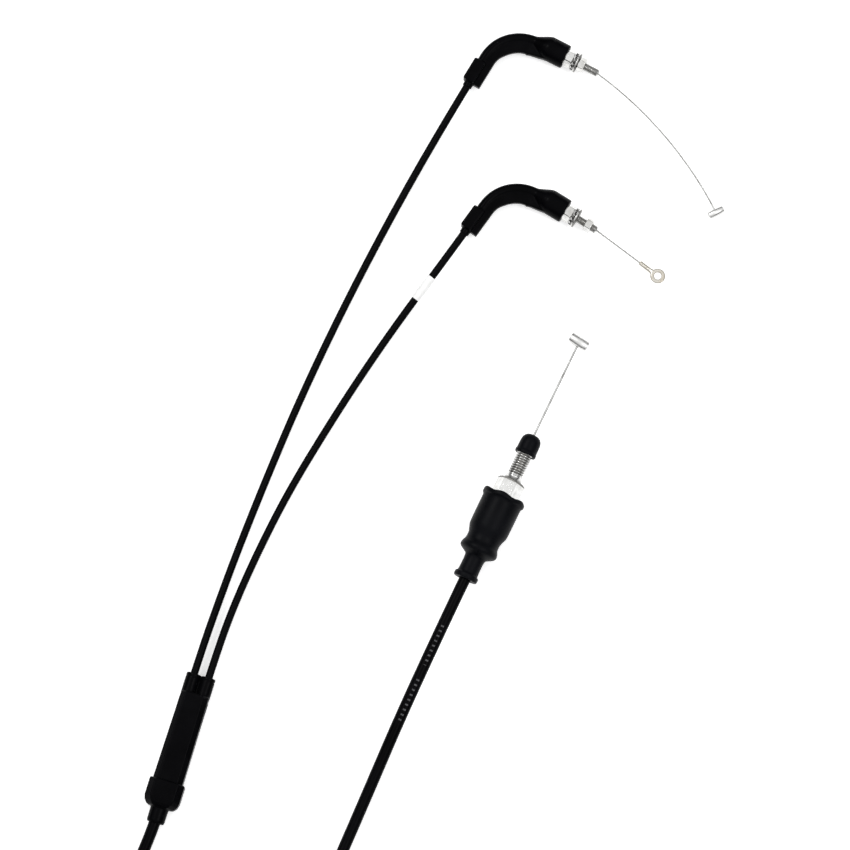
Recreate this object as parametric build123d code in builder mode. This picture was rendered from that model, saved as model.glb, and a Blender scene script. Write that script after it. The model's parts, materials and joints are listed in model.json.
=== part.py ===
from build123d import *

import os
from math import cos, pi, radians, sin, tan

# One-into-two throttle cable, lying flat.  Lengths are in millimetres and headings in degrees,
# anticlockwise from +X.  +Z is up and the surface it lies on is z = 0.  The origin is under the
# middle of the splitter, on its flat underside.

# ---- driving dimensions ------------------------------------------------------------------

# Casings, the wires inside them and the pulls that they carry
LEG_CASING_DIAMETER = 4.6
MAIN_CASING_DIAMETER = 7.0
LEG_WIRE_DIAMETER = 1.1
MAIN_WIRE_DIAMETER = 1.5
FIT = 0.05  # clearance between pieces that sit in each other
WIRE_PASSAGE = 0.65  # radial room round a wire in the splitter's wall
WIRE_HOLE = 0.35  # radial room round a wire in a ferrule or a dust cap

# Splitter: a flat moulding, two sockets at one end and a plugged-in cap at the other
SPLITTER_HEADING = 73.0
SPLITTER_AXIS_HEIGHT = 7.0
BODY_TOP = 27.4
BODY_BOTTOM = -27.1
BODY_TOP_WIDTH = 17.0
BODY_BOTTOM_WIDTH = 18.3
BODY_THICKNESS = 14.2  # the lowest 0.1 is cut off flat, for the face that the splitter rests on
BODY_CORNER = 4.5
SPIGOT_END = -33.0
SPIGOT_WIDTH = 14.8
SPIGOT_THICKNESS = 10.6
SPIGOT_CORNER = 2.0
CHAMBER_TOP = 22.0
CHAMBER_WIDTH = 12.8
CHAMBER_THICKNESS = 8.4
LEG_SPACING = 9.0
SOCKET_DIAMETER = 8.8
SOCKET_END = 39.0
CAP_WIDTH = 21.6
CAP_THICKNESS = 15.6
CAP_CORNER = 5.0
CAP_SHOULDER = -38.0
CAP_END = -43.2
CAP_END_WIDTH = 15.0
CAP_END_THICKNESS = 12.0
NECK_DIAMETER = 10.8
NECK_END = -52.4

# Shuttle: the sliding block that ties one wire to two
SHUTTLE_BOTTOM = 7.0
SHUTTLE_TOP = 21.0
SHUTTLE_WIDTH = 12.4
SHUTTLE_THICKNESS = 8.0
LEG_NIPPLE_DIAMETER = 3.2
LEG_NIPPLE_STATION = 17.0
LEG_NIPPLE_OFFSET = 4.2
MAIN_NIPPLE_DIAMETER = 4.4
MAIN_NIPPLE_STATION = 11.5
NIPPLE_HEIGHT = 5.0

# Ferrules on the casing ends
LEG_FERRULE_DIAMETER = 6.0
LEG_FERRULE_START = 22.6
LEG_FERRULE_END = 30.6
LEG_CASING_END = 24.0
MAIN_FERRULE_DIAMETER = 9.0
MAIN_FERRULE_START = -34.5
MAIN_FERRULE_END = -44.5
MAIN_CASING_END = -36.0

# Elbows: a bent steel tube in a moulded cover that reaches inwards as a web, with a block at one
# end and a bell at the other
ELBOW_HEIGHT = 7.7
ELBOW_TURN = 86.5
ELBOW_RADIUS = 24.0
ELBOW_ENTRY_STRAIGHT = 18.8
ELBOW_EXIT_STRAIGHT = 19.6
TUBE_DIAMETER = 5.0
TUBE_BORE = 2.6
COVER_WIDTH = 11.4
COVER_THICKNESS = 7.2
COVER_CORNER = 2.4
COVER_INWARD_SHIFT = 2.5
BLOCK_WIDTH = 8.4
BLOCK_THICKNESS = 10.4
BLOCK_LENGTH = 15.0
BLOCK_CORNER = 1.8
BLOCK_OUTER_SIDE = 4.6
COVER_OVERLAP = 2.0  # shared length where the sleeve runs into the block
ENTRY_SLEEVE_DIAMETER = 5.9
ENTRY_SLEEVE_LENGTH = 3.0
BELL_DIAMETER = 15.2
BELL_LENGTH = 12.5
BELL_CONE_LENGTH = 9.0
BELL_CONE_DROP = 4.2  # in radius
BELL_EDGE = 0.4
ELBOW_FERRULE_START = 1.0
ELBOW_FERRULE_END = 10.5
ELBOW_CASING_END = 9.0

# Studs and what is on them, as distances from the bell's mouth
STUD_DIAMETER = 5.0
STUD_BORE = 2.6
STUD_LENGTH = 22.0
STUD_CHAMFER = 0.5
COLLAR_FLATS = 10.0
COLLAR_LENGTH = 4.6
TOOTHED_WASHER_START = 4.6
TOOTHED_WASHER_DEPTH = 2.4
TOOTHED_WASHER_DISC = 0.9
TOOTHED_WASHER_DIAMETER = 11.6
TOOTHED_WASHER_ROOT = 9.0
TOOTH_COUNT = 12
TOOTH_WIDTH = 1.5
TOOTH_OVERLAP = 0.3  # of a tooth into its disc
FLAT_WASHER_START = 7.1
FLAT_WASHER_THICKNESS = 1.2
FLAT_WASHER_DIAMETER = 12.4
WASHER_BORE = 5.3
NUT_FLATS = 8.0
NUT_THICKNESS = 4.2
NUT_START = {"a": 8.5, "b": 14.2}

# Where each elbow's bell opens, and the heading of its stud
MOUTH = {"a": Vector(229.5, 414.7, ELBOW_HEIGHT), "b": Vector(228.8, 319.0, ELBOW_HEIGHT)}
STUD_HEADING = {"a": -27.5, "b": -32.0}

# Ends of the leg wires
BARREL_A_CENTRE = Vector(319.8, 319.6, 2.4)
BARREL_A_HEADING = 27.0
BARREL_A_LENGTH = 10.0
BARREL_A_DIAMETER = 4.7
WIRE_B_HEADING = -37.5
WIRE_B_LENGTH = 32.5
EYELET_SHANK_LENGTH = 9.6
EYELET_SHANK_DIAMETER = 2.8
EYELET_DIAMETER = 9.2
EYELET_BORE = 4.3
EYELET_THICKNESS = 1.6
SHANK_OVERLAP = 0.6  # of the ring into the end of the shank
WIRE_START_INSIDE = 1.5

# Lever end: stations are distances from the boot's lower rim along the fitting's heading
LEVER_BASE = Vector(168.05, 95.2, 13.5)
LEVER_HEADING = 64.4
LEVER_CASING_END = 25.0
LEVER_BORE = 3.0
FERRULE_START = 17.0
FERRULE_SHOULDER = 36.0
FERRULE_RADIUS = 5.5
FERRULE_NECK_RADIUS = 3.2
HEAD_START = 46.0
HEAD_END = 49.0
HEAD_RADIUS = 4.6
SKIRT_START = 38.0
SKIRT_RADIUS = 7.8
HEX_START = 50.0
HEX_END = 65.4
HEX_FLATS = 15.0
HEX_CHAMFER = 0.5
ADJUSTER_THREAD_DIAMETER = 9.8
ADJUSTER_END = 93.5
ADJUSTER_CHAMFER = 1.0
DUST_CAP_START = 82.0
DUST_CAP_END = 95.0
DUST_CAP_RADIUS = 6.3
DUST_CAP_RIM_RADIUS = 6.75
DUST_CAP_RIM_LENGTH = 2.4
DUST_CAP_DOME = [(90.0, DUST_CAP_RADIUS), (92.6, 5.7), (94.4, 4.2), (DUST_CAP_END, 2.6)]
MAIN_WIRE_START = 70.0
BARREL_M_STATION = 158.0
BARREL_M_HEADING = -33.0
BARREL_M_LENGTH = 12.2
BARREL_M_DIAMETER = 6.6
BARREL_CHAMFER = 0.4

# Boot: wall section from the lower rim up
BOOT_START = -1.0
BOOT_END = 54.5
BOOT_NECK_BORE = 3.75
BOOT_OUTSIDE = [(BOOT_START, 7.5), (2.4, 7.5), (2.4, 6.2), (13.6, 6.2), (15.5, 9.6), (17.6, 11.7), (20.1, 11.5)]
BOOT_OUTSIDE += [(22.8, 10.3), (26.5, 10.3), (31.6, 12.2), (50.0, 12.2), (52.0, 13.4), (BOOT_END, 13.5)]
BOOT_INSIDE = [(BOOT_END, 8.75), (49.5, 8.75), (48.0, 10.3), (34.0, 10.3), (28.0, 8.5), (19.0, 8.5), (15.5, 6.0)]
BOOT_INSIDE += [(15.5, BOOT_NECK_BORE), (BOOT_START, BOOT_NECK_BORE)]

# Spare casing, put away as a round coil of two and a half turns
COIL_CENTRE = Vector(6.0, -163.0, 0.0)
COIL_OUTER_TURN = 46.0
COIL_INNER_TURN = 38.5
COIL_HEIGHT = 14.6
COIL_SLACK = 0.6

# Routes of the casings' centre lines, from the splitter outwards.  Each route starts and ends on
# the axis of a fitting: its first and last two points are stations on those axes.
LEG_FIRST_STATION = 52.0
LEG_APPROACH = {"a": -15.0, "b": -26.0}
LEG_ROUTE = {
    "a": [
        (20.0, 78.5, 4.6),
        (32.0, 112.5, 2.6),
        (48.5, 155.0, 2.4),
        (68.0, 202.5, 2.4),
        (90.5, 251.5, 2.4),
        (114.5, 299.5, 2.5),
        (138.5, 344.0, 3.6),
    ],
    "b": [
        (29.0, 76.5, 4.6),
        (43.0, 109.5, 2.6),
        (62.0, 148.0, 2.4),
        (87.0, 190.0, 2.4),
        (109.0, 224.5, 2.4),
        (132.2, 258.0, 3.4),
    ],
}
MAIN_FIRST_STATION = -60.0
MAIN_UPPER_ROUTE = [
    (-33.0, -90.0, 4.3),
    (-40.0, -120.0, 3.6),
    (-38.4, -151.1, 3.6),
]
MAIN_LOWER_ROUTE = [
    (44.3, -180.2, 10.8),
    (54.5, -158.3, 10.8),
    (69.2, -126.0, 5.4),
    (85.3, -89.5, 3.6),
    (103.4, -48.0, 3.8),
]
MAIN_LAST_STATION = -66.0
WIRE_A_ROUTE = [
    (247.24, 405.47, 7.7),
    (260.0, 396.0, 7.4),
    (280.3, 376.7, 6.0),
    (298.3, 355.4, 4.3),
    (313.6, 332.1, 2.9),
    (319.8, 319.6, 2.4),
]
MARKER_LENGTH = 16.5
MARKER_DIAMETER = 5.6
ARC_SHARE = 0.45  # of the shorter run, taken by each arc of a cord


# ---- helpers -----------------------------------------------------------------------------


def heading_vector(heading):
    """Level unit vector along a heading."""
    return Vector(cos(radians(heading)), sin(radians(heading)), 0)


def along(start, heading):
    """Level plane on an axis: its +X runs along the heading and its +Y to the left."""
    return Plane(origin=start, x_dir=heading_vector(heading), z_dir=(0, 0, 1))


def across(start, heading, station=0.0):
    """Plane square to an axis at a station: its +Z runs along the heading and its +Y is up."""
    direction = heading_vector(heading)
    left = Vector(-direction.Y, direction.X, 0)
    return Plane(origin=start + direction * station, x_dir=left, z_dir=direction)


def save(builder, label):
    """Label a finished piece and write it as its own STEP file."""
    builder.part.label = label
    export_step(builder.part, f"parts/{label}.step")


def turned(label, start, heading, section):
    """Piece of revolution from its wall section, given as (station, radius) points."""
    with BuildPart() as piece:
        with BuildSketch(along(start, heading)):
            with BuildLine():
                Polyline(*section, close=True)
            make_face()
        revolve(axis=Axis(start, heading_vector(heading)))
    save(piece, label)


def barrel(label, centre, heading, length, diameter):
    """Cable end nipple: a chamfered cylinder that lies across the wire."""
    with BuildPart() as piece:
        with BuildSketch(across(centre, heading, -length / 2)):
            Circle(diameter / 2)
        extrude(amount=length)
        chamfer(piece.edges().filter_by(GeomType.CIRCLE), BARREL_CHAMFER)
    save(piece, label)


def corner_radii(route):
    """Largest arc that each corner of a route has room for."""
    radii = []
    for before, corner, after in zip(route, route[1:], route[2:]):
        run_in = Vector(*corner) - Vector(*before)
        run_out = Vector(*after) - Vector(*corner)
        half_turn = radians(run_in.get_angle(run_out)) / 2
        radii.append(ARC_SHARE * min(run_in.length, run_out.length) / tan(half_turn))
    return radii


def cord_tube(label, route, diameter):
    """Plain tube along a cord's route; prints its radii and compares its volume."""
    radii = corner_radii(route)
    first_run = Vector(*route[1]) - Vector(*route[0])
    with BuildPart() as tube:
        with BuildLine():
            centre_line = FilletPolyline(*route, radius=radii)
        with BuildSketch(Plane(origin=route[0], z_dir=first_run)):
            Circle(diameter / 2)
        sweep(path=centre_line)
    length = centre_line.length
    expected = length * pi * diameter**2 / 4
    rounded_radii = [round(radius) for radius in radii]
    print(f"{label}: {length:.1f} mm, volume {tube.part.volume / expected:.4f}, radii {rounded_radii}")
    save(tube, label)


def splitter_point(station, offset=0.0, height=SPLITTER_AXIS_HEIGHT):
    """Point on the splitter: a station along its axis, an offset to its left and a height."""
    direction = heading_vector(SPLITTER_HEADING)
    return Vector(
        direction.X * station - direction.Y * offset,
        direction.Y * station + direction.X * offset,
        height,
    )


def splitter_plane(station):
    """Plane square to the splitter's axis at a station."""
    return across(splitter_point(0), SPLITTER_HEADING, station)


# ---- splitter ----------------------------------------------------------------------------


def build_splitter_body():
    with BuildPart() as body:
        with BuildSketch(splitter_plane(BODY_TOP)):
            RectangleRounded(BODY_TOP_WIDTH, BODY_THICKNESS, BODY_CORNER)
        with BuildSketch(splitter_plane(BODY_BOTTOM)):
            RectangleRounded(BODY_BOTTOM_WIDTH, BODY_THICKNESS, BODY_CORNER)
        loft()
        split(bisect_by=Plane.XY, keep=Keep.TOP)
        with BuildSketch(splitter_plane(SPIGOT_END)):
            RectangleRounded(SPIGOT_WIDTH, SPIGOT_THICKNESS, SPIGOT_CORNER)
        extrude(amount=BODY_BOTTOM - SPIGOT_END)
        with BuildSketch(splitter_plane(BODY_TOP)):
            with Locations((LEG_SPACING / 2, 0), (-LEG_SPACING / 2, 0)):
                Circle(SOCKET_DIAMETER / 2)
            Rectangle(LEG_SPACING, SOCKET_DIAMETER / 2)
        extrude(amount=SOCKET_END - BODY_TOP)
        with BuildSketch(splitter_plane(SPIGOT_END)):
            Rectangle(CHAMBER_WIDTH, CHAMBER_THICKNESS)
        extrude(amount=CHAMBER_TOP - SPIGOT_END, mode=Mode.SUBTRACT)
        bores = [
            (CHAMBER_TOP, LEG_FERRULE_START, LEG_WIRE_DIAMETER / 2 + WIRE_PASSAGE),
            (LEG_FERRULE_START, LEG_FERRULE_END, LEG_FERRULE_DIAMETER / 2 + FIT),
            (LEG_FERRULE_END, SOCKET_END, LEG_CASING_DIAMETER / 2 + FIT),
        ]
        for start, end, radius in bores:
            with BuildSketch(splitter_plane(start)):
                with Locations((LEG_SPACING / 2, 0), (-LEG_SPACING / 2, 0)):
                    Circle(radius)
            extrude(amount=end - start, mode=Mode.SUBTRACT)
    save(body, "splitter_body")


def build_splitter_cap():
    cap_rise = CAP_THICKNESS / 2 - SPLITTER_AXIS_HEIGHT
    with BuildPart() as cap:
        with BuildSketch(splitter_plane(CAP_SHOULDER)):
            with Locations((0, cap_rise)):
                RectangleRounded(CAP_WIDTH, CAP_THICKNESS, CAP_CORNER)
        extrude(amount=BODY_BOTTOM - CAP_SHOULDER)
        with BuildSketch(splitter_plane(CAP_SHOULDER)):
            with Locations((0, cap_rise)):
                RectangleRounded(CAP_WIDTH, CAP_THICKNESS, CAP_CORNER)
        with BuildSketch(splitter_plane(CAP_END)):
            RectangleRounded(CAP_END_WIDTH, CAP_END_THICKNESS, CAP_CORNER)
        loft()
        with BuildSketch(splitter_plane(NECK_END)):
            Circle(NECK_DIAMETER / 2)
        extrude(amount=CAP_END - NECK_END)
        with BuildSketch(splitter_plane(SPIGOT_END)):
            RectangleRounded(SPIGOT_WIDTH + 2 * FIT, SPIGOT_THICKNESS + 2 * FIT, SPIGOT_CORNER)
        extrude(amount=BODY_BOTTOM - SPIGOT_END, mode=Mode.SUBTRACT)
        with BuildSketch(splitter_plane(MAIN_FERRULE_END)):
            Circle(MAIN_FERRULE_DIAMETER / 2 + FIT)
        extrude(amount=SPIGOT_END - MAIN_FERRULE_END, mode=Mode.SUBTRACT)
        with BuildSketch(splitter_plane(NECK_END)):
            Circle(MAIN_CASING_DIAMETER / 2 + FIT)
        extrude(amount=MAIN_FERRULE_END - NECK_END, mode=Mode.SUBTRACT)
    save(cap, "splitter_cap")


def build_shuttle():
    floor = SPLITTER_AXIS_HEIGHT - SHUTTLE_THICKNESS / 2
    pocket_floor = SPLITTER_AXIS_HEIGHT - NIPPLE_HEIGHT / 2 - FIT
    leg_pockets = [(LEG_NIPPLE_STATION, LEG_NIPPLE_OFFSET), (LEG_NIPPLE_STATION, -LEG_NIPPLE_OFFSET)]
    plan = along(splitter_point(0, height=pocket_floor), SPLITTER_HEADING)
    with BuildPart() as shuttle:
        with BuildSketch(splitter_plane(SHUTTLE_BOTTOM)):
            Rectangle(SHUTTLE_WIDTH, SHUTTLE_THICKNESS)
        extrude(amount=SHUTTLE_TOP - SHUTTLE_BOTTOM)
        with BuildSketch(plan):
            with Locations(*leg_pockets):
                Circle(LEG_NIPPLE_DIAMETER / 2 + FIT)
            with Locations((MAIN_NIPPLE_STATION, 0)):
                Circle(MAIN_NIPPLE_DIAMETER / 2 + FIT)
        extrude(amount=floor + SHUTTLE_THICKNESS - pocket_floor, mode=Mode.SUBTRACT)
        with BuildSketch(splitter_plane(LEG_NIPPLE_STATION)):
            with Locations((LEG_NIPPLE_OFFSET, 0), (-LEG_NIPPLE_OFFSET, 0)):
                Circle(LEG_WIRE_DIAMETER / 2 + FIT)
        extrude(amount=SHUTTLE_TOP - LEG_NIPPLE_STATION, mode=Mode.SUBTRACT)
        with BuildSketch(splitter_plane(SHUTTLE_BOTTOM)):
            Circle(MAIN_WIRE_DIAMETER / 2 + FIT)
        extrude(amount=MAIN_NIPPLE_STATION - SHUTTLE_BOTTOM, mode=Mode.SUBTRACT)
    save(shuttle, "shuttle")

    nipple_floor = SPLITTER_AXIS_HEIGHT - NIPPLE_HEIGHT / 2
    nipple_plan = along(splitter_point(0, height=nipple_floor), SPLITTER_HEADING)
    with BuildPart() as leg_nipples:
        with BuildSketch(nipple_plan):
            with Locations(*leg_pockets):
                Circle(LEG_NIPPLE_DIAMETER / 2)
        extrude(amount=NIPPLE_HEIGHT)
    save(leg_nipples, "shuttle_leg_nipples")
    with BuildPart() as main_nipple:
        with BuildSketch(nipple_plan):
            with Locations((MAIN_NIPPLE_STATION, 0)):
                Circle(MAIN_NIPPLE_DIAMETER / 2)
        extrude(amount=NIPPLE_HEIGHT)
    save(main_nipple, "shuttle_main_nipple")


def build_splitter_wires():
    leg_wire_start = LEG_NIPPLE_STATION + LEG_NIPPLE_DIAMETER / 2
    with BuildPart() as leg_wires:
        with BuildSketch(splitter_plane(leg_wire_start)):
            with Locations((LEG_NIPPLE_OFFSET, 0), (-LEG_NIPPLE_OFFSET, 0)):
                Circle(LEG_WIRE_DIAMETER / 2)
        extrude(amount=LEG_CASING_END - leg_wire_start)
    save(leg_wires, "splitter_leg_wires")
    main_wire_start = MAIN_NIPPLE_STATION - MAIN_NIPPLE_DIAMETER / 2
    with BuildPart() as main_wire:
        with BuildSketch(splitter_plane(MAIN_CASING_END)):
            Circle(MAIN_WIRE_DIAMETER / 2)
        extrude(amount=main_wire_start - MAIN_CASING_END)
    save(main_wire, "splitter_main_wire")


def build_splitter_ferrules():
    with BuildPart() as leg_ferrules:
        for offset in (LEG_SPACING / 2, -LEG_SPACING / 2):
            with BuildSketch(splitter_plane(LEG_FERRULE_START)):
                with Locations((offset, 0)):
                    Circle(LEG_FERRULE_DIAMETER / 2)
                    Circle(LEG_WIRE_DIAMETER / 2 + WIRE_HOLE, mode=Mode.SUBTRACT)
            extrude(amount=LEG_FERRULE_END - LEG_FERRULE_START)
            with BuildSketch(splitter_plane(LEG_CASING_END)):
                with Locations((offset, 0)):
                    Circle(LEG_CASING_DIAMETER / 2)
            extrude(amount=LEG_FERRULE_END - LEG_CASING_END, mode=Mode.SUBTRACT)
    save(leg_ferrules, "splitter_leg_ferrules")
    wire_hole = MAIN_WIRE_DIAMETER / 2 + WIRE_HOLE
    section = [
        (MAIN_FERRULE_START, wire_hole),
        (MAIN_FERRULE_START, MAIN_FERRULE_DIAMETER / 2),
        (MAIN_FERRULE_END, MAIN_FERRULE_DIAMETER / 2),
        (MAIN_FERRULE_END, MAIN_CASING_DIAMETER / 2),
        (MAIN_CASING_END, MAIN_CASING_DIAMETER / 2),
        (MAIN_CASING_END, wire_hole),
    ]
    turned("splitter_main_ferrule", splitter_point(0), SPLITTER_HEADING, section)


# ---- leg ends ----------------------------------------------------------------------------


def elbow_points(leg):
    """Entry, corner and mouth of an elbow's centre line, and its entry heading."""
    mouth = MOUTH[leg]
    entry_heading = STUD_HEADING[leg] + ELBOW_TURN
    tangent = ELBOW_RADIUS * tan(radians(ELBOW_TURN / 2))
    corner = mouth - heading_vector(STUD_HEADING[leg]) * (ELBOW_EXIT_STRAIGHT + tangent)
    entry = corner - heading_vector(entry_heading) * (ELBOW_ENTRY_STRAIGHT + tangent)
    return entry, corner, mouth, entry_heading


def build_elbow(leg):
    entry, corner, mouth, entry_heading = elbow_points(leg)
    entry_direction = heading_vector(entry_heading)
    tube_start = entry + entry_direction * ELBOW_FERRULE_END
    bell_start = -(BELL_LENGTH + BELL_CONE_LENGTH)
    bell_radius = BELL_DIAMETER / 2

    with BuildPart() as cover:
        # The bend turns right, so its inner side is to the right of the centre line
        with BuildLine() as cover_line:
            FilletPolyline(entry, corner, mouth, radius=ELBOW_RADIUS)
        with BuildSketch(across(entry, entry_heading)):
            with Locations((-COVER_INWARD_SHIFT, 0)):
                RectangleRounded(COVER_WIDTH, COVER_THICKNESS, COVER_CORNER)
        sweep(path=cover_line.line)
        with BuildSketch(along(mouth, STUD_HEADING[leg])):
            with BuildLine():
                Polyline(
                    (0, 0),
                    (0, bell_radius - BELL_EDGE),
                    (-BELL_EDGE, bell_radius),
                    (-BELL_LENGTH, bell_radius),
                    (bell_start, bell_radius - BELL_CONE_DROP),
                    (bell_start, 0),
                    close=True,
                )
            make_face()
        revolve(axis=Axis(mouth, heading_vector(STUD_HEADING[leg])))
        with BuildSketch(across(entry, entry_heading)):
            with Locations((BLOCK_OUTER_SIDE - BLOCK_WIDTH / 2, 0)):
                RectangleRounded(BLOCK_WIDTH, BLOCK_THICKNESS, BLOCK_CORNER)
        extrude(amount=BLOCK_LENGTH)
        with BuildSketch(across(entry, entry_heading, -ENTRY_SLEEVE_LENGTH)):
            Circle(ENTRY_SLEEVE_DIAMETER / 2)
        extrude(amount=ENTRY_SLEEVE_LENGTH + COVER_OVERLAP)
        with BuildSketch(across(entry, entry_heading, -ENTRY_SLEEVE_LENGTH)):
            Circle(LEG_CASING_DIAMETER / 2 + FIT)
        extrude(amount=ENTRY_SLEEVE_LENGTH + ELBOW_FERRULE_START, mode=Mode.SUBTRACT)
        with BuildSketch(across(entry, entry_heading, ELBOW_FERRULE_START)):
            Circle(LEG_FERRULE_DIAMETER / 2 + FIT)
        extrude(amount=ELBOW_FERRULE_END - ELBOW_FERRULE_START, mode=Mode.SUBTRACT)
        with BuildLine() as bore_line:
            FilletPolyline(tube_start, corner, mouth, radius=ELBOW_RADIUS)
        with BuildSketch(across(tube_start, entry_heading)):
            Circle(TUBE_DIAMETER / 2 + FIT)
        sweep(path=bore_line.line, mode=Mode.SUBTRACT)
    save(cover, f"elbow_cover_{leg}")

    with BuildPart() as tube:
        with BuildLine() as tube_line:
            FilletPolyline(tube_start, corner, mouth, radius=ELBOW_RADIUS)
        with BuildSketch(across(tube_start, entry_heading)):
            Circle(TUBE_DIAMETER / 2)
            Circle(TUBE_BORE / 2, mode=Mode.SUBTRACT)
        sweep(path=tube_line.line)
    save(tube, f"elbow_tube_{leg}")

    ferrule_section = [
        (ELBOW_FERRULE_START, LEG_CASING_DIAMETER / 2),
        (ELBOW_FERRULE_START, LEG_FERRULE_DIAMETER / 2),
        (ELBOW_FERRULE_END, LEG_FERRULE_DIAMETER / 2),
        (ELBOW_FERRULE_END, TUBE_BORE / 2),
        (ELBOW_CASING_END, TUBE_BORE / 2),
        (ELBOW_CASING_END, LEG_CASING_DIAMETER / 2),
    ]
    turned(f"elbow_ferrule_{leg}", entry, entry_heading, ferrule_section)


def build_stud(leg):
    mouth = MOUTH[leg]
    heading = STUD_HEADING[leg]
    with BuildPart() as stud:
        with BuildSketch(across(mouth, heading)):
            RegularPolygon(COLLAR_FLATS / 2, 6, major_radius=False)
        extrude(amount=COLLAR_LENGTH)
        with BuildSketch(across(mouth, heading)):
            Circle(STUD_DIAMETER / 2)
        extrude(amount=STUD_LENGTH)
        chamfer(stud.faces().sort_by(Axis(mouth, heading_vector(heading)))[-1].edges(), STUD_CHAMFER)
        with BuildSketch(across(mouth, heading)):
            Circle(STUD_BORE / 2)
        extrude(amount=STUD_LENGTH, mode=Mode.SUBTRACT)
    save(stud, f"stud_{leg}")

    with BuildPart() as toothed_washer:
        with BuildSketch(across(mouth, heading, TOOTHED_WASHER_START)):
            Circle(TOOTHED_WASHER_ROOT / 2)
            Circle(WASHER_BORE / 2, mode=Mode.SUBTRACT)
        extrude(amount=TOOTHED_WASHER_DISC)
        tooth_length = (TOOTHED_WASHER_DIAMETER - TOOTHED_WASHER_ROOT) / 2 + TOOTH_OVERLAP
        with BuildSketch(across(mouth, heading, TOOTHED_WASHER_START)):
            with PolarLocations((TOOTHED_WASHER_DIAMETER - tooth_length) / 2, TOOTH_COUNT):
                Rectangle(tooth_length, TOOTH_WIDTH)
        extrude(amount=TOOTHED_WASHER_DEPTH)
    save(toothed_washer, f"toothed_washer_{leg}")

    with BuildPart() as flat_washer:
        with BuildSketch(across(mouth, heading, FLAT_WASHER_START)):
            Circle(FLAT_WASHER_DIAMETER / 2)
            Circle(WASHER_BORE / 2, mode=Mode.SUBTRACT)
        extrude(amount=FLAT_WASHER_THICKNESS)
    save(flat_washer, f"flat_washer_{leg}")

    with BuildPart() as nut:
        with BuildSketch(across(mouth, heading, NUT_START[leg])):
            RegularPolygon(NUT_FLATS / 2, 6, major_radius=False)
            Circle(STUD_DIAMETER / 2 + FIT, mode=Mode.SUBTRACT)
        extrude(amount=NUT_THICKNESS)
    save(nut, f"nut_{leg}")


def build_eyelet():
    wire_direction = heading_vector(WIRE_B_HEADING)
    tip = MOUTH["b"] + heading_vector(STUD_HEADING["b"]) * STUD_LENGTH
    ring_centre = tip + wire_direction * (WIRE_B_LENGTH + EYELET_SHANK_LENGTH + EYELET_DIAMETER / 2 - SHANK_OVERLAP)
    with BuildPart() as wire:
        with BuildSketch(across(tip, WIRE_B_HEADING, -WIRE_START_INSIDE)):
            Circle(LEG_WIRE_DIAMETER / 2)
        extrude(amount=WIRE_B_LENGTH + WIRE_START_INSIDE)
    save(wire, "wire_b")
    with BuildPart() as eyelet:
        with BuildSketch(across(tip, WIRE_B_HEADING, WIRE_B_LENGTH)):
            Circle(EYELET_SHANK_DIAMETER / 2)
        extrude(amount=EYELET_SHANK_LENGTH + SHANK_OVERLAP)
        with BuildSketch(Plane(origin=ring_centre - Vector(0, 0, EYELET_THICKNESS / 2))):
            Circle(EYELET_DIAMETER / 2)
        extrude(amount=EYELET_THICKNESS)
        with BuildSketch(Plane(origin=ring_centre - Vector(0, 0, EYELET_SHANK_DIAMETER))):
            Circle(EYELET_BORE / 2)
        extrude(amount=2 * EYELET_SHANK_DIAMETER, mode=Mode.SUBTRACT)
    save(eyelet, "eyelet_b")
    print(f"eyelet bore centre {ring_centre.X:.3f} {ring_centre.Y:.3f} {ring_centre.Z:.3f}")


# ---- lever end ---------------------------------------------------------------------------


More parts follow.
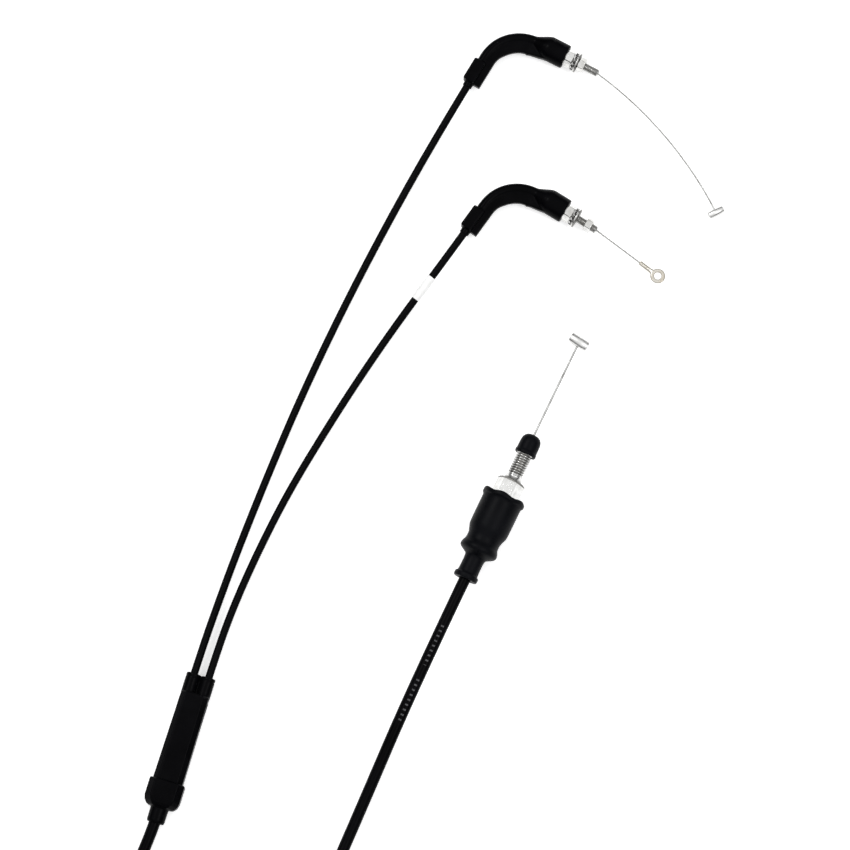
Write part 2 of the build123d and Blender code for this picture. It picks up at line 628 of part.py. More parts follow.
def build_lever_end():
    bore_radius = LEVER_BORE / 2
    ferrule_section = [
        (FERRULE_START, MAIN_CASING_DIAMETER / 2),
        (FERRULE_START, FERRULE_RADIUS),
        (FERRULE_SHOULDER, FERRULE_RADIUS),
        (FERRULE_SHOULDER, FERRULE_NECK_RADIUS),
        (HEAD_START, FERRULE_NECK_RADIUS),
        (HEAD_START, HEAD_RADIUS),
        (HEAD_END, HEAD_RADIUS),
        (HEAD_END, bore_radius),
        (LEVER_CASING_END, bore_radius),
        (LEVER_CASING_END, MAIN_CASING_DIAMETER / 2),
    ]
    turned("lever_ferrule", LEVER_BASE, LEVER_HEADING, ferrule_section)

    with BuildPart() as adjuster:
        with BuildSketch(along(LEVER_BASE, LEVER_HEADING)):
            with BuildLine():
                Polyline(
                    (SKIRT_START, 0),
                    (SKIRT_START, SKIRT_RADIUS),
                    (HEX_START, SKIRT_RADIUS),
                    (HEX_START, ADJUSTER_THREAD_DIAMETER / 2),
                    (ADJUSTER_END - ADJUSTER_CHAMFER, ADJUSTER_THREAD_DIAMETER / 2),
                    (ADJUSTER_END, ADJUSTER_THREAD_DIAMETER / 2 - ADJUSTER_CHAMFER),
                    (ADJUSTER_END, 0),
                    close=True,
                )
            make_face()
        revolve(axis=Axis(LEVER_BASE, heading_vector(LEVER_HEADING)))
        with BuildSketch(across(LEVER_BASE, LEVER_HEADING, HEX_START)):
            RegularPolygon(HEX_FLATS / 2, 6, major_radius=False)
        extrude(amount=HEX_END - HEX_CHAMFER - HEX_START)
        with BuildSketch(across(LEVER_BASE, LEVER_HEADING, HEX_END - HEX_CHAMFER)):
            RegularPolygon(HEX_FLATS / 2, 6, major_radius=False)
        with BuildSketch(across(LEVER_BASE, LEVER_HEADING, HEX_END)):
            RegularPolygon(HEX_FLATS / 2 - HEX_CHAMFER, 6, major_radius=False)
        loft()
        with BuildSketch(along(LEVER_BASE, LEVER_HEADING)):
            with BuildLine():
                Polyline(
                    (SKIRT_START, 0),
                    (SKIRT_START, FERRULE_NECK_RADIUS + FIT),
                    (HEAD_START - FIT, FERRULE_NECK_RADIUS + FIT),
                    (HEAD_START - FIT, HEAD_RADIUS + FIT),
                    (HEAD_END + FIT, HEAD_RADIUS + FIT),
                    (HEAD_END + FIT, bore_radius),
                    (ADJUSTER_END, bore_radius),
                    (ADJUSTER_END, 0),
                    close=True,
                )
            make_face()
        revolve(axis=Axis(LEVER_BASE, heading_vector(LEVER_HEADING)), mode=Mode.SUBTRACT)
    save(adjuster, "adjuster")

    turned("boot", LEVER_BASE, LEVER_HEADING, BOOT_OUTSIDE + BOOT_INSIDE)

    wire_hole = MAIN_WIRE_DIAMETER / 2 + WIRE_HOLE
    cap_bore = ADJUSTER_THREAD_DIAMETER / 2 + FIT
    cap_section = [
        (DUST_CAP_START, cap_bore),
        (DUST_CAP_START, DUST_CAP_RIM_RADIUS),
        (DUST_CAP_START + DUST_CAP_RIM_LENGTH, DUST_CAP_RIM_RADIUS),
        (DUST_CAP_START + DUST_CAP_RIM_LENGTH, DUST_CAP_RADIUS),
        *DUST_CAP_DOME,
        (DUST_CAP_END, wire_hole),
        (ADJUSTER_END + FIT, wire_hole),
        (ADJUSTER_END + FIT, cap_bore - ADJUSTER_CHAMFER),
        (ADJUSTER_END - ADJUSTER_CHAMFER + FIT, cap_bore),
    ]
    turned("dust_cap", LEVER_BASE, LEVER_HEADING, cap_section)

    with BuildPart() as wire:
        with BuildSketch(across(LEVER_BASE, LEVER_HEADING, MAIN_WIRE_START)):
            Circle(MAIN_WIRE_DIAMETER / 2)
        extrude(amount=BARREL_M_STATION - BARREL_M_DIAMETER / 2 - MAIN_WIRE_START)
    save(wire, "wire_main")
    centre = LEVER_BASE + heading_vector(LEVER_HEADING) * BARREL_M_STATION
    barrel("barrel_main", centre, BARREL_M_HEADING, BARREL_M_LENGTH, BARREL_M_DIAMETER)


# ---- casings -----------------------------------------------------------------------------


def leg_route(leg):
    """Whole route of a leg's casing, from its ferrule in the splitter to its ferrule in the elbow."""
    side = LEG_SPACING / 2 if leg == "a" else -LEG_SPACING / 2
    entry, _, _, entry_heading = elbow_points(leg)
    entry_direction = heading_vector(entry_heading)
    start = [tuple(splitter_point(station, side)) for station in (LEG_CASING_END, LEG_FIRST_STATION)]
    end = [tuple(entry + entry_direction * depth) for depth in (LEG_APPROACH[leg], ELBOW_CASING_END)]
    return start + LEG_ROUTE[leg] + end


def build_marker_sleeve():
    """White sleeve on leg b, in the middle of the run that leads up to the elbow."""
    before, after = [Vector(*point) for point in leg_route("b")[-3:-1]]
    run_plane = Plane(origin=(before + after) / 2, z_dir=after - before)
    with BuildPart() as sleeve:
        with BuildSketch(run_plane):
            Circle(MARKER_DIAMETER / 2)
            Circle(LEG_CASING_DIAMETER / 2 + FIT, mode=Mode.SUBTRACT)
        extrude(amount=MARKER_LENGTH / 2, both=True)
    save(sleeve, "marker_sleeve")


def build_casings():
    for leg in ("a", "b"):
        cord_tube(f"casing_leg_{leg}", leg_route(leg), LEG_CASING_DIAMETER)
    upper_stations = (MAIN_CASING_END, MAIN_FIRST_STATION)
    upper_start = [tuple(splitter_point(station)) for station in upper_stations]
    cord_tube("casing_main_upper", upper_start + MAIN_UPPER_ROUTE, MAIN_CASING_DIAMETER)
    lever_direction = heading_vector(LEVER_HEADING)
    lower_stations = (MAIN_LAST_STATION, LEVER_CASING_END)
    lower_end = [tuple(LEVER_BASE + lever_direction * station) for station in lower_stations]
    cord_tube("casing_main_lower", MAIN_LOWER_ROUTE + lower_end, MAIN_CASING_DIAMETER)
    casing_radius = MAIN_CASING_DIAMETER / 2
    with BuildPart() as coil:
        with BuildSketch(Plane(origin=COIL_CENTRE)):
            Circle(COIL_OUTER_TURN + casing_radius + COIL_SLACK)
            Circle(COIL_INNER_TURN - casing_radius - COIL_SLACK, mode=Mode.SUBTRACT)
        extrude(amount=COIL_HEIGHT)
        fillet(coil.edges().filter_by(GeomType.CIRCLE), casing_radius)
    save(coil, "casing_main_coil")


os.makedirs("parts", exist_ok=True)
build_splitter_body()
build_splitter_cap()
build_shuttle()
build_splitter_wires()
build_splitter_ferrules()
for leg_name in ("a", "b"):
    build_elbow(leg_name)
    build_stud(leg_name)
cord_tube("wire_a", WIRE_A_ROUTE, LEG_WIRE_DIAMETER)
barrel("barrel_a", BARREL_A_CENTRE, BARREL_A_HEADING, BARREL_A_LENGTH, BARREL_A_DIAMETER)
build_eyelet()
build_lever_end()
build_casings()
build_marker_sleeve()
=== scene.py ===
import json
from math import ceil, cos, pi, radians, sin

import bmesh
import bpy
from mathutils import Matrix, Vector


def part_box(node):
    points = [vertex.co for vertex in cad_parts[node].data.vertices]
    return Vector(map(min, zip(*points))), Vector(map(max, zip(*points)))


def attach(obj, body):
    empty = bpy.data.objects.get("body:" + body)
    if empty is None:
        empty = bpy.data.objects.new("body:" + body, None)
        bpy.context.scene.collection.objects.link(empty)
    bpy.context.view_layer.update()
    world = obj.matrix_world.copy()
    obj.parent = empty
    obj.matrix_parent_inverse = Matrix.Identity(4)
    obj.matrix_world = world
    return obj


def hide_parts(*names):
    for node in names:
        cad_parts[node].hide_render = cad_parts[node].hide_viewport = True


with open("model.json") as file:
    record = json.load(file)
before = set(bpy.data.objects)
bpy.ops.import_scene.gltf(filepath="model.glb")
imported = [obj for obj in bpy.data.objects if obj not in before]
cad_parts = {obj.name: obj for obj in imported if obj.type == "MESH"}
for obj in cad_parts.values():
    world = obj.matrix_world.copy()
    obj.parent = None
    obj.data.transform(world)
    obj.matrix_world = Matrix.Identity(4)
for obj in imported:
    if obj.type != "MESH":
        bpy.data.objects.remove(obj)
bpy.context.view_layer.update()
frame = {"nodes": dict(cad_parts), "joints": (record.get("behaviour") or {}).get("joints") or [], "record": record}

# A split throttle cable: the looks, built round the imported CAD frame.  Blender works in metres,
# and so do the cords' routes and diameters.  The pieces' own tables are in millimetres: along, to
# the left of and above an axis, or along it and out from it.

MM = 0.001
SCENE = bpy.context.scene
UP = Vector((0, 0, 1))


def local_frame(origin, direction):
    """Matrix from millimetres along, left of and above a level axis to the row frame."""
    ahead = Vector(direction).normalized()
    left = UP.cross(ahead)
    turn = Matrix((ahead, left, UP)).transposed().to_4x4()
    return Matrix.Translation(origin) @ turn @ Matrix.Scale(MM, 4)


mounts = {mount["name"]: mount for mount in frame["record"]["mounts"]}
joints = {joint["name"]: joint for joint in frame["joints"]}


def mount_frame(name, station):
    """Frame on a mount's axis whose origin lies this many millimetres behind the mount."""
    axis = Vector(mounts[name]["axis"])
    return local_frame(Vector(mounts[name]["pos_m"]) - axis * station * MM, axis)


SPLITTER_HEIGHT = 0.007

# Where each mount stands on its own axis, and the stud's end on the axis of its elbow's mouth
LEVER_MOUNT = 74
STUD_MOUNT = {"a": 17, "b": 11}
STUD_END = 22.0

SPLITTER = local_frame((0, 0, SPLITTER_HEIGHT), -Vector(joints["shuttle_slide"]["axis"]))
LEVER = mount_frame("lever_thread", LEVER_MOUNT)
MOUTH = {leg: mount_frame(f"leg_{leg}_stud", station) for leg, station in STUD_MOUNT.items()}
BARREL = {"a": mount_frame("leg_a_nipple", 0), "main": mount_frame("lever_nipple", 0)}
EYELET = local_frame(mounts["carburettor_eyelet"]["pos_m"], -Vector(joints["carb_pull_b"]["axis"]))


# ---- camera ------------------------------------------------------------------------------

CAMERA_TARGET = Vector((0.14404, 0.18966, 0))
CAMERA_DISTANCE = 3.0
CAMERA_ELEVATION = radians(80)
VIEW_WIDTH = 0.51
SENSOR_WIDTH = 36

back = Vector((0, -cos(CAMERA_ELEVATION), sin(CAMERA_ELEVATION)))
camera_data = bpy.data.cameras.new("camera")
camera_data.sensor_width = SENSOR_WIDTH
camera_data.lens = SENSOR_WIDTH * CAMERA_DISTANCE / VIEW_WIDTH
camera = bpy.data.objects.new("camera", camera_data)
SCENE.collection.objects.link(camera)
camera.location = CAMERA_TARGET + back * CAMERA_DISTANCE
camera.rotation_euler = (-back).to_track_quat("-Z", "Y").to_euler()
SCENE.camera = camera


# ---- materials ---------------------------------------------------------------------------


class Look:
    """A material under construction: one Principled shader and the nodes that feed it."""

    def __init__(self, name, roughness=0.5, metallic=0.0, **sockets):
        self.material = bpy.data.materials.new(name)
        self.material.use_nodes = True
        self.tree = self.material.node_tree
        self.shader = self.tree.nodes["Principled BSDF"]
        self.shader.inputs["Metallic"].default_value = metallic
        self.shader.inputs["Roughness"].default_value = roughness
        for socket, value in sockets.items():
            self.shader.inputs[socket.replace("_", " ")].default_value = value
        self.bump_height = None

    def add(self, kind, inputs=(), **settings):
        """Add a node; inputs maps its sockets to numbers, colours or other nodes' outputs."""
        node = self.tree.nodes.new("ShaderNode" + kind)
        for name, value in settings.items():
            setattr(node, name, value)
        for socket, value in dict(inputs).items():
            if isinstance(value, bpy.types.NodeSocket):
                self.tree.links.new(value, node.inputs[socket])
            else:
                node.inputs[socket].default_value = value
        return node

    def place(self):
        """Coordinates in metres."""
        return self.add("TexCoord").outputs["Object"]

    def noise(self, per_mm, detail=3.0, roughness=0.55, stretch=None):
        """Noise of this many features per millimetre, from 0 to 1."""
        where = self.place()
        if stretch is not None:
            where = self.add("Mapping", {"Vector": where, "Scale": stretch}).outputs["Vector"]
        inputs = {"Vector": where, "Scale": per_mm / MM, "Detail": detail, "Roughness": roughness}
        return self.add("TexNoise", inputs).outputs["Fac"]

    def own(self, attribute):
        """A number that the mesh carries at its points."""
        return self.add("Attribute", attribute_name=attribute).outputs["Fac"]

    def span(self, value, low, high, to_low=0.0, to_high=1.0):
        """Map low to high onto to_low to to_high, clamped."""
        inputs = {"Value": value, "From Min": low, "From Max": high}
        inputs |= {"To Min": to_low, "To Max": to_high}
        return self.add("MapRange", inputs).outputs["Result"]

    def math(self, operation, *values):
        node = self.add("Math", enumerate(values), operation=operation)
        return node.outputs["Value"]

    def vector_math(self, operation, first, second, output="Vector"):
        node = self.add("VectorMath", enumerate((first, second)), operation=operation)
        return node.outputs[output]

    def mix(self, share, first, second):
        node = self.add("Mix", {"Factor": share}, data_type="RGBA")
        for socket, value in ((6, first), (7, second)):
            if isinstance(value, bpy.types.NodeSocket):
                self.tree.links.new(value, node.inputs[socket])
            else:
                node.inputs[socket].default_value = (*value, 1)
        return node.outputs[2]

    def colour(self, source):
        self.tree.links.new(source, self.shader.inputs["Base Color"])

    def roughness(self, source):
        self.tree.links.new(source, self.shader.inputs["Roughness"])

    def bump(self, height, depth_mm, strength=1.0):
        """Raise the surface by a height from 0 to 1; later calls add to earlier ones."""
        inputs = {"Height": height, "Distance": depth_mm * MM, "Strength": strength}
        if self.bump_height is not None:
            inputs["Normal"] = self.bump_height
        self.bump_height = self.add("Bump", inputs).outputs["Normal"]
        self.tree.links.new(self.bump_height, self.shader.inputs["Normal"])


def black_plastic(name, dark, light, roughness, grain_mm, grain_depth, gloss, painted_edge_highlight):
    """Black plastic or rubber: cloudy tone, fine grain, pale scuffs and specks of wear, and a painted highlight on
    convex edges.
    """
    # Pale colour for specks of wear, and also for the painted edge highlight below.
    worn = (0.02, 0.02, 0.022)
    look = Look(name, Specular_IOR_Level=gloss)
    cloud = look.noise(0.06, 4)
    scuff = look.span(look.noise(0.55, 6, 0.7), 0.60, 0.74)
    speck = look.span(look.noise(2.6, 1), 0.70, 0.76)
    edge = look.span(look.add("NewGeometry").outputs["Pointiness"], 0.515, 0.60)
    tone = look.mix(look.span(cloud, 0.35, 0.65), dark, light)
    tone = look.mix(look.math("MULTIPLY", scuff, 0.35), tone, [2.2 * value for value in light])
    tone = look.mix(look.math("MULTIPLY", speck, 0.25), tone, worn)
    # Painted highlight: convex edges, found from their pointiness, are lightened towards the pale colour.
    tone = look.mix(look.math("MULTIPLY", edge, painted_edge_highlight), tone, worn)
    look.colour(tone)
    rough = look.span(cloud, 0.3, 0.7, roughness - 0.06, roughness + 0.06)
    look.roughness(look.math("MULTIPLY_ADD", scuff, 0.14, rough))
    look.bump(look.noise(1 / grain_mm, 2), grain_depth)
    look.bump(cloud, 0.05, 0.5)
    return look


def metal(name, pale, dull, roughness, marks_per_mm, mark_depth, stain):
    """Plated or cast metal: turning marks round its axis, stains, fine pits, and painted shade where the mesh
    marks it, in thread roots and on shaded faces.
    """
    look = Look(name, metallic=1.0)
    cloud = look.noise(0.25, 4)
    station = look.own("station")
    turning = look.add(
        "TexNoise", {"W": station, "Scale": marks_per_mm, "Detail": 2.0}, noise_dimensions="1D"
    ).outputs["Fac"]
    pits = look.span(look.noise(3.0, 2), 0.62, 0.72)
    painted_shade = look.own("painted_shade")
    tone = look.mix(look.span(cloud, 0.35, 0.65), pale, dull)
    stained = look.span(look.noise(0.12, 3), 0.5, 0.7)
    tone = look.mix(look.math("MULTIPLY", stained, 0.5), tone, stain)
    tone = look.mix(look.math("MULTIPLY", pits, 0.35), tone, (0.32, 0.31, 0.29))
    # Painted shade: where the mesh marks shade (thread roots, a chamfer, washer faces) the colour goes nearly
    # black and rougher.
    tone = look.mix(look.math("MULTIPLY", painted_shade, 0.8), tone, (0.10, 0.095, 0.085))
    look.colour(tone)
    rough = look.span(cloud, 0.3, 0.7, roughness - 0.05, roughness + 0.08)
    rough = look.math("MULTIPLY_ADD", turning, 0.08, rough)
    look.roughness(look.math("MULTIPLY_ADD", painted_shade, 0.25, rough))
    look.bump(turning, mark_depth)
    look.bump(pits, 0.02, 0.6)
    return look


def jacket(name, ridge_phase):
    """Extruded casing jacket with drag marks, where the inner spiral shows as faint ridges.

    ridge_phase is how far the ridges' wave goes from one end to the other, in radians."""
    look = black_plastic(
        name,
        dark=(0.0010, 0.0010, 0.0013),
        light=(0.0020, 0.0020, 0.0026),
        roughness=0.34,
        grain_mm=0.35,
        grain_depth=0.012,
        gloss=0.025,
        painted_edge_highlight=0.0,
    )
    lines = look.noise(0.9, 2, 0.5, (1.0, 0.25, 1.0))
    look.bump(lines, 0.02, 0.5)
    grown = look.add("UVMap", uv_map="UVMap").outputs["UV"]
    along = look.add("SeparateXYZ", {"Vector": grown}).outputs["X"]
    ridge = look.math("SINE", look.math("MULTIPLY", along, ridge_phase))
    look.bump(look.span(ridge, -1, 1), 0.03, 0.6)
    return look


LOOKS = {
    "leg_jacket": jacket("leg_jacket", 1700.0),
    "moulded": black_plastic(
        "moulded_plastic",
        dark=(0.0007, 0.0007, 0.0010),
        light=(0.0016, 0.0016, 0.0021),
        roughness=0.28,
        grain_mm=0.22,
        grain_depth=0.03,
        gloss=0.025,
        painted_edge_highlight=0.3,
    ),
    "rubber": black_plastic(
        "moulded_rubber",
        dark=(0.0016, 0.0018, 0.0026),
        light=(0.0032, 0.0035, 0.0048),
        roughness=0.42,
        grain_mm=0.3,
        grain_depth=0.035,
        gloss=0.045,
        painted_edge_highlight=0.2,
    ),
    "zinc": metal(
        "zinc_steel",
        pale=(0.68, 0.68, 0.67),
        dull=(0.52, 0.52, 0.51),
        roughness=0.17,
        marks_per_mm=2.2,
        mark_depth=0.02,
        stain=(0.44, 0.43, 0.40),
    ),
    "hidden_steel": metal(
        "hidden_steel",
        pale=(0.62, 0.61, 0.58),
        dull=(0.5, 0.49, 0.46),
        roughness=0.34,
        marks_per_mm=1.6,
        mark_depth=0.02,
        stain=(0.42, 0.38, 0.3),
    ),
    "rope": metal(
        "wire_strand",
        pale=(0.56, 0.56, 0.55),
        dull=(0.42, 0.42, 0.41),
        roughness=0.3,
        marks_per_mm=1.5,
        mark_depth=0.01,
        stain=(0.22, 0.21, 0.19),
    ),
    "nipple": metal(
        "cast_zinc",
        pale=(0.74, 0.74, 0.73),
        dull=(0.60, 0.60, 0.59),
        roughness=0.26,
        marks_per_mm=1.2,
        mark_depth=0.02,
        stain=(0.44, 0.43, 0.41),
    ),
    "eyelet": metal(
        "plated_eyelet",
        pale=(0.60, 0.58, 0.53),
        dull=(0.50, 0.47, 0.41),
        roughness=0.24,
        marks_per_mm=1.4,
        mark_depth=0.02,
        stain=(0.42, 0.37, 0.29),
    ),
}


def marked_jacket():
    """The main casing's jacket, with two rows of plain pale ticks in place of print."""
    look = jacket("main_jacket", 2600.0)
    first, last = MARK_RUN
    ahead = (last - first).normalized()
    side = UP.cross(ahead)
    offset = look.vector_math("SUBTRACT", look.place(), first)
    along = look.vector_math("DOT_PRODUCT", offset, ahead, "Value")
    across = look.vector_math("DOT_PRODUCT", offset, side, "Value")
    normal = look.add("NewGeometry").outputs["Normal"]
    facing = look.add("SeparateXYZ", {"Vector": normal}).outputs["Z"]
    beat = look.math("FRACT", look.math("DIVIDE", along, MARK_PITCH))
    tick = look.math("LESS_THAN", beat, 0.3)
    reach = look.math("LESS_THAN", look.math("ABSOLUTE", across), MARK_HALF_WIDTH)
    top = look.math("GREATER_THAN", facing, 0.3)
    rows = []
    for start, end in MARK_ROWS:
        after = look.math("GREATER_THAN", along, start)
        rows.append(look.math("MULTIPLY", after, look.math("LESS_THAN", along, end)))
    inked = look.math("MAXIMUM", *rows)
    for mask in (tick, reach, top):
        inked = look.math("MULTIPLY", inked, mask)
    worn = look.span(look.noise(1.3, 3), 0.35, 0.6, 0.25, 0.75)
    plain = look.shader.inputs["Base Color"].links[0].from_socket
    look.colour(look.mix(look.math("MULTIPLY", inked, worn), plain, (0.13, 0.13, 0.135)))
    return look


def white_sleeve_look():
    look = Look("white_sleeve", Specular_IOR_Level=0.4)
    cloud = look.noise(0.2, 4)
    grime = look.span(look.noise(0.5, 5, 0.7), 0.56, 0.75)
    tone = look.mix(look.span(cloud, 0.35, 0.65), (0.88, 0.88, 0.88), (0.82, 0.82, 0.81))
    look.colour(look.mix(look.math("MULTIPLY", grime, 0.4), tone, (0.55, 0.54, 0.52)))
    look.roughness(look.span(cloud, 0.3, 0.7, 0.4, 0.52))
    look.bump(look.noise(1.2, 3), 0.03)
    return look


def nylon_look():
    look = Look("shuttle_nylon", Specular_IOR_Level=0.4)
    cloud = look.noise(0.15, 4)
    look.colour(look.mix(look.span(cloud, 0.35, 0.65), (0.80, 0.79, 0.74), (0.70, 0.68, 0.61)))
    look.roughness(look.span(cloud, 0.3, 0.7, 0.42, 0.55))
    look.bump(look.noise(2.0, 2), 0.02)
    return look


LOOKS["sleeve"] = white_sleeve_look()
LOOKS["nylon"] = nylon_look()


# ---- cords -------------------------------------------------------------------------------

LEG_DIAMETER = 0.0046
MAIN_DIAMETER = 0.007
LEG_WIRE = 0.0011
MAIN_WIRE = 0.0015

LEG_ROUTE = {
    "a": [
        (0.00271, 0.02427, 0.0070),
        (0.01090, 0.05104, 0.0070),
        (0.0200, 0.0785, 0.0046),
        (0.0320, 0.1125, 0.0026),
        (0.0485, 0.1550, 0.0024),
        (0.0680, 0.2025, 0.0024),
        (0.0905, 0.2515, 0.0024),
        (0.1145, 0.2995, 0.0025),
        (0.1385, 0.3440, 0.0036),
        (0.163052, 0.385851, 0.0077),
        (0.175413, 0.406423, 0.0077),
    ],
    "b": [
        (0.01132, 0.02164, 0.0070),
        (0.01951, 0.04841, 0.0070),
        (0.0290, 0.0765, 0.0046),
        (0.0430, 0.1095, 0.0026),
        (0.0620, 0.1480, 0.0024),
        (0.0870, 0.1900, 0.0024),
        (0.1090, 0.2245, 0.0024),
        (0.1322, 0.2580, 0.0034),
        (0.153906, 0.286498, 0.0077),
        (0.174231, 0.314992, 0.0077),
    ],
}
MAIN_UPPER = [
    (-0.010525, -0.034427, 0.0070),
    (-0.017542, -0.057378, 0.0070),
    (-0.0330, -0.0900, 0.0043),
    (-0.0400, -0.1200, 0.0036),
    (-0.0384, -0.1511, 0.0036),
]
MAIN_LOWER = [
    (0.0443, -0.1802, 0.0108),
    (0.0545, -0.1583, 0.0108),
    (0.0692, -0.1260, 0.0054),
    (0.0853, -0.0895, 0.0036),
    (0.1034, -0.0480, 0.0038),
    (0.139532, 0.035679, 0.0135),
    (0.178852, 0.117746, 0.0135),
]
WIRE_A = [
    (0.24724, 0.40547, 0.0077),
    (0.2600, 0.3960, 0.0074),
    (0.2803, 0.3767, 0.0060),
    (0.2983, 0.3554, 0.0043),
    (0.3136, 0.3321, 0.0029),
    (0.3198, 0.3196, 0.0024),
]

# The coil: most of a turn outside, a turn inside it, then up and over both.  The angles and the
# first numbers of both tables are in degrees.
COIL_CENTRE = Vector((0.006, -0.163))
COIL_START = 165.0
COIL_STEP = 22.0
COIL_SWEEP = 890.8
COIL_RADIUS = [(0, 0.046), (250, 0.046), (340, 0.0385), (700, 0.0385), (760, 0.042), (900, 0.042)]
COIL_HEIGHT = [(0, 0.0036), (610, 0.0036), (690, 0.0108), (900, 0.0108)]


def stepped(table, position):
    """Value at a position between the rows of a table."""
    for (start, low), (end, high) in zip(table, table[1:]):
        if position <= end:
            return low + (high - low) * (position - start) / (end - start)
    return table[-1][1]


coil_points = []
for turn in range(1, ceil(COIL_SWEEP / COIL_STEP)):
    swept = turn * COIL_STEP
    angle = radians(COIL_START + swept)
    spot = COIL_CENTRE + Vector((cos(angle), sin(angle))) * stepped(COIL_RADIUS, swept)
    coil_points.append((spot.x, spot.y, stepped(COIL_HEIGHT, swept)))
MAIN_ROUTE = MAIN_UPPER + coil_points + MAIN_LOWER

MARK_RUN = (Vector((0.1290, 0.0100, 0)), Vector((0.1548, 0.0667, 0)))
MARK_PITCH = 0.0032
MARK_HALF_WIDTH = 0.0009
MARK_ROWS = [(0.0, 0.0287), (0.0359, 0.0617)]
LOOKS["main_jacket"] = marked_jacket()


def smooth_line(name, route):
    """Curve object of one NURBS spline with the route's points as its control points."""
    curve = bpy.data.curves.new(name, "CURVE")
    curve.dimensions = "3D"
    curve.resolution_u = 16
    spline = curve.splines.new("NURBS")
    spline.points.add(len(route) - 1)
    for point, place in zip(spline.points, route):
        point.co = (*place, 1)
    spline.order_u = 3
    spline.use_endpoint_u = True
    line = bpy.data.objects.new(name, curve)
    SCENE.collection.objects.link(line)
    return line


def finished(piece, look, body, slot, *replaced):
    """Give a piece its material and its body, and hide the CAD nodes that it stands for; slot is not used."""
    piece.data.materials.append(LOOKS[look].material)
    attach(piece, body)
    if replaced:
        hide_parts(*replaced)
    return piece


def casing(name, route, diameter, look, *replaced):
    line = smooth_line(name, route)
    line.data.bevel_depth = diameter / 2
    line.data.bevel_resolution = 7
    line.data.use_fill_caps = True
    return finished(line, look, "root", "casing_jacket", *replaced)


def followed(route):
    """Points of a route's NURBS spline."""
    line = smooth_line("guide", route)
    bpy.context.view_layer.update()
    graph = bpy.context.evaluated_depsgraph_get()
    mesh = bpy.data.meshes.new_from_object(line.evaluated_get(graph))
    points = [vertex.co.copy() for vertex in mesh.vertices]
    curve = line.data
    bpy.data.objects.remove(line)
    bpy.data.curves.remove(curve)
    bpy.data.meshes.remove(mesh)
    return points


def even(points, step):
    """The same line at even spacing."""
    marks = [0.0]
    for before, after in zip(points, points[1:]):
        marks.append(marks[-1] + (after - before).length)
    count = max(2, round(marks[-1] / step))
    spaced, i = [], 0
    for k in range(count + 1):
        wanted = marks[-1] * k / count
        while i < len(marks) - 2 and marks[i + 1] < wanted:
            i += 1
        run = marks[i + 1] - marks[i]
        share = (wanted - marks[i]) / run if run else 0
        spaced.append(points[i].lerp(points[i + 1], share))
    return spaced


def sections(points):
    """Point, tangent and two square directions at each point, turning as little as possible."""
    placed, side = [], None
    for i, point in enumerate(points):
        tangent = (points[min(i + 1, len(points) - 1)] - points[max(i - 1, 0)]).normalized()
        side = tangent.orthogonal() if side is None else side - tangent * side.dot(tangent)
        side = side.normalized()
        placed.append((point, tangent, side, tangent.cross(side)))
    return placed


casing_a = casing("casing_a", LEG_ROUTE["a"], LEG_DIAMETER, "leg_jacket", "casing_leg_a")
casing_b = casing("casing_b", LEG_ROUTE["b"], LEG_DIAMETER, "leg_jacket", "casing_leg_b")
main_nodes = ("casing_main_upper", "casing_main_coil", "casing_main_lower")
casing_main = casing("casing_main", MAIN_ROUTE, MAIN_DIAMETER, "main_jacket", *main_nodes)


# ---- meshes ------------------------------------------------------------------------------


def add_rings(mesh, rings, looped=False):
    """Skin over rings of points: its ends are capped, or joined to each other if it is looped."""
    rows = [[mesh.verts.new(point) for point in ring] for ring in rings]
    pairs = list(zip(rows, rows[1:]))
    if looped:
        pairs.append((rows[-1], rows[0]))
    count = len(rows[0])
    for row, following in pairs:
        for i in range(count):
            j = (i + 1) % count
            mesh.faces.new((row[i], row[j], following[j], following[i]))
    if not looped:
        mesh.faces.new(rows[0])
        mesh.faces.new(rows[-1])
    return rows


def piece_of(name, mesh, place=None, sharp=40, weld=1e-4):
    """Turn a bmesh into an object in the row frame, carrying each point's station as a number."""
    station = mesh.verts.layers.float.get("station") or mesh.verts.layers.float.new("station")
    for vertex in mesh.verts:
        vertex[station] = vertex.co.x
    bmesh.ops.remove_doubles(mesh, verts=mesh.verts, dist=weld)
    bmesh.ops.recalc_face_normals(mesh, faces=mesh.faces)
    if place is not None:
        mesh.transform(place)
    data = bpy.data.meshes.new(name)
    mesh.to_mesh(data)
    mesh.free()
    data.shade_smooth()
    data.set_sharp_from_angle(angle=radians(sharp))
    piece = bpy.data.objects.new(name, data)
    SCENE.collection.objects.link(piece)
    return piece


def with_modifiers(piece):
    """Apply a piece's modifiers to its mesh."""
    bpy.context.view_layer.update()
    graph = bpy.context.evaluated_depsgraph_get()
    data = bpy.data.meshes.new_from_object(piece.evaluated_get(graph))
    piece.modifiers.clear()
    old, piece.data = piece.data, data
    bpy.data.meshes.remove(old)
    data.name = piece.name
    return piece


def bevelled(piece, width_mm, segments=2, angle=35):
    edge = piece.modifiers.new("bevel", "BEVEL")
    edge.width = width_mm * MM
    edge.segments = segments
    edge.limit_method = "ANGLE"
    edge.angle_limit = radians(angle)
    return piece


def subdivided(piece, levels=2):
    surface = piece.modifiers.new("subdivision", "SUBSURF")
    surface.levels = surface.render_levels = levels
    return piece


def moulded(piece, voxel_mm, smoothing):
    """Fuse a piece's overlapping shells into one skin with soft, filleted corners."""
    remesh = piece.modifiers.new("remesh", "REMESH")
    remesh.mode = "VOXEL"
    remesh.voxel_size = voxel_mm * MM
    smooth = piece.modifiers.new("smooth", "SMOOTH")
    smooth.factor = 0.5
    smooth.iterations = smoothing
    with_modifiers(piece)
    piece.data.shade_smooth()
    return piece


def hexagon_reach(flats, angle):
    """Radius of a hexagon at an angle."""
    sixth = pi / 3
    return flats / 2 / cos((angle + sixth / 2) % sixth - sixth / 2)


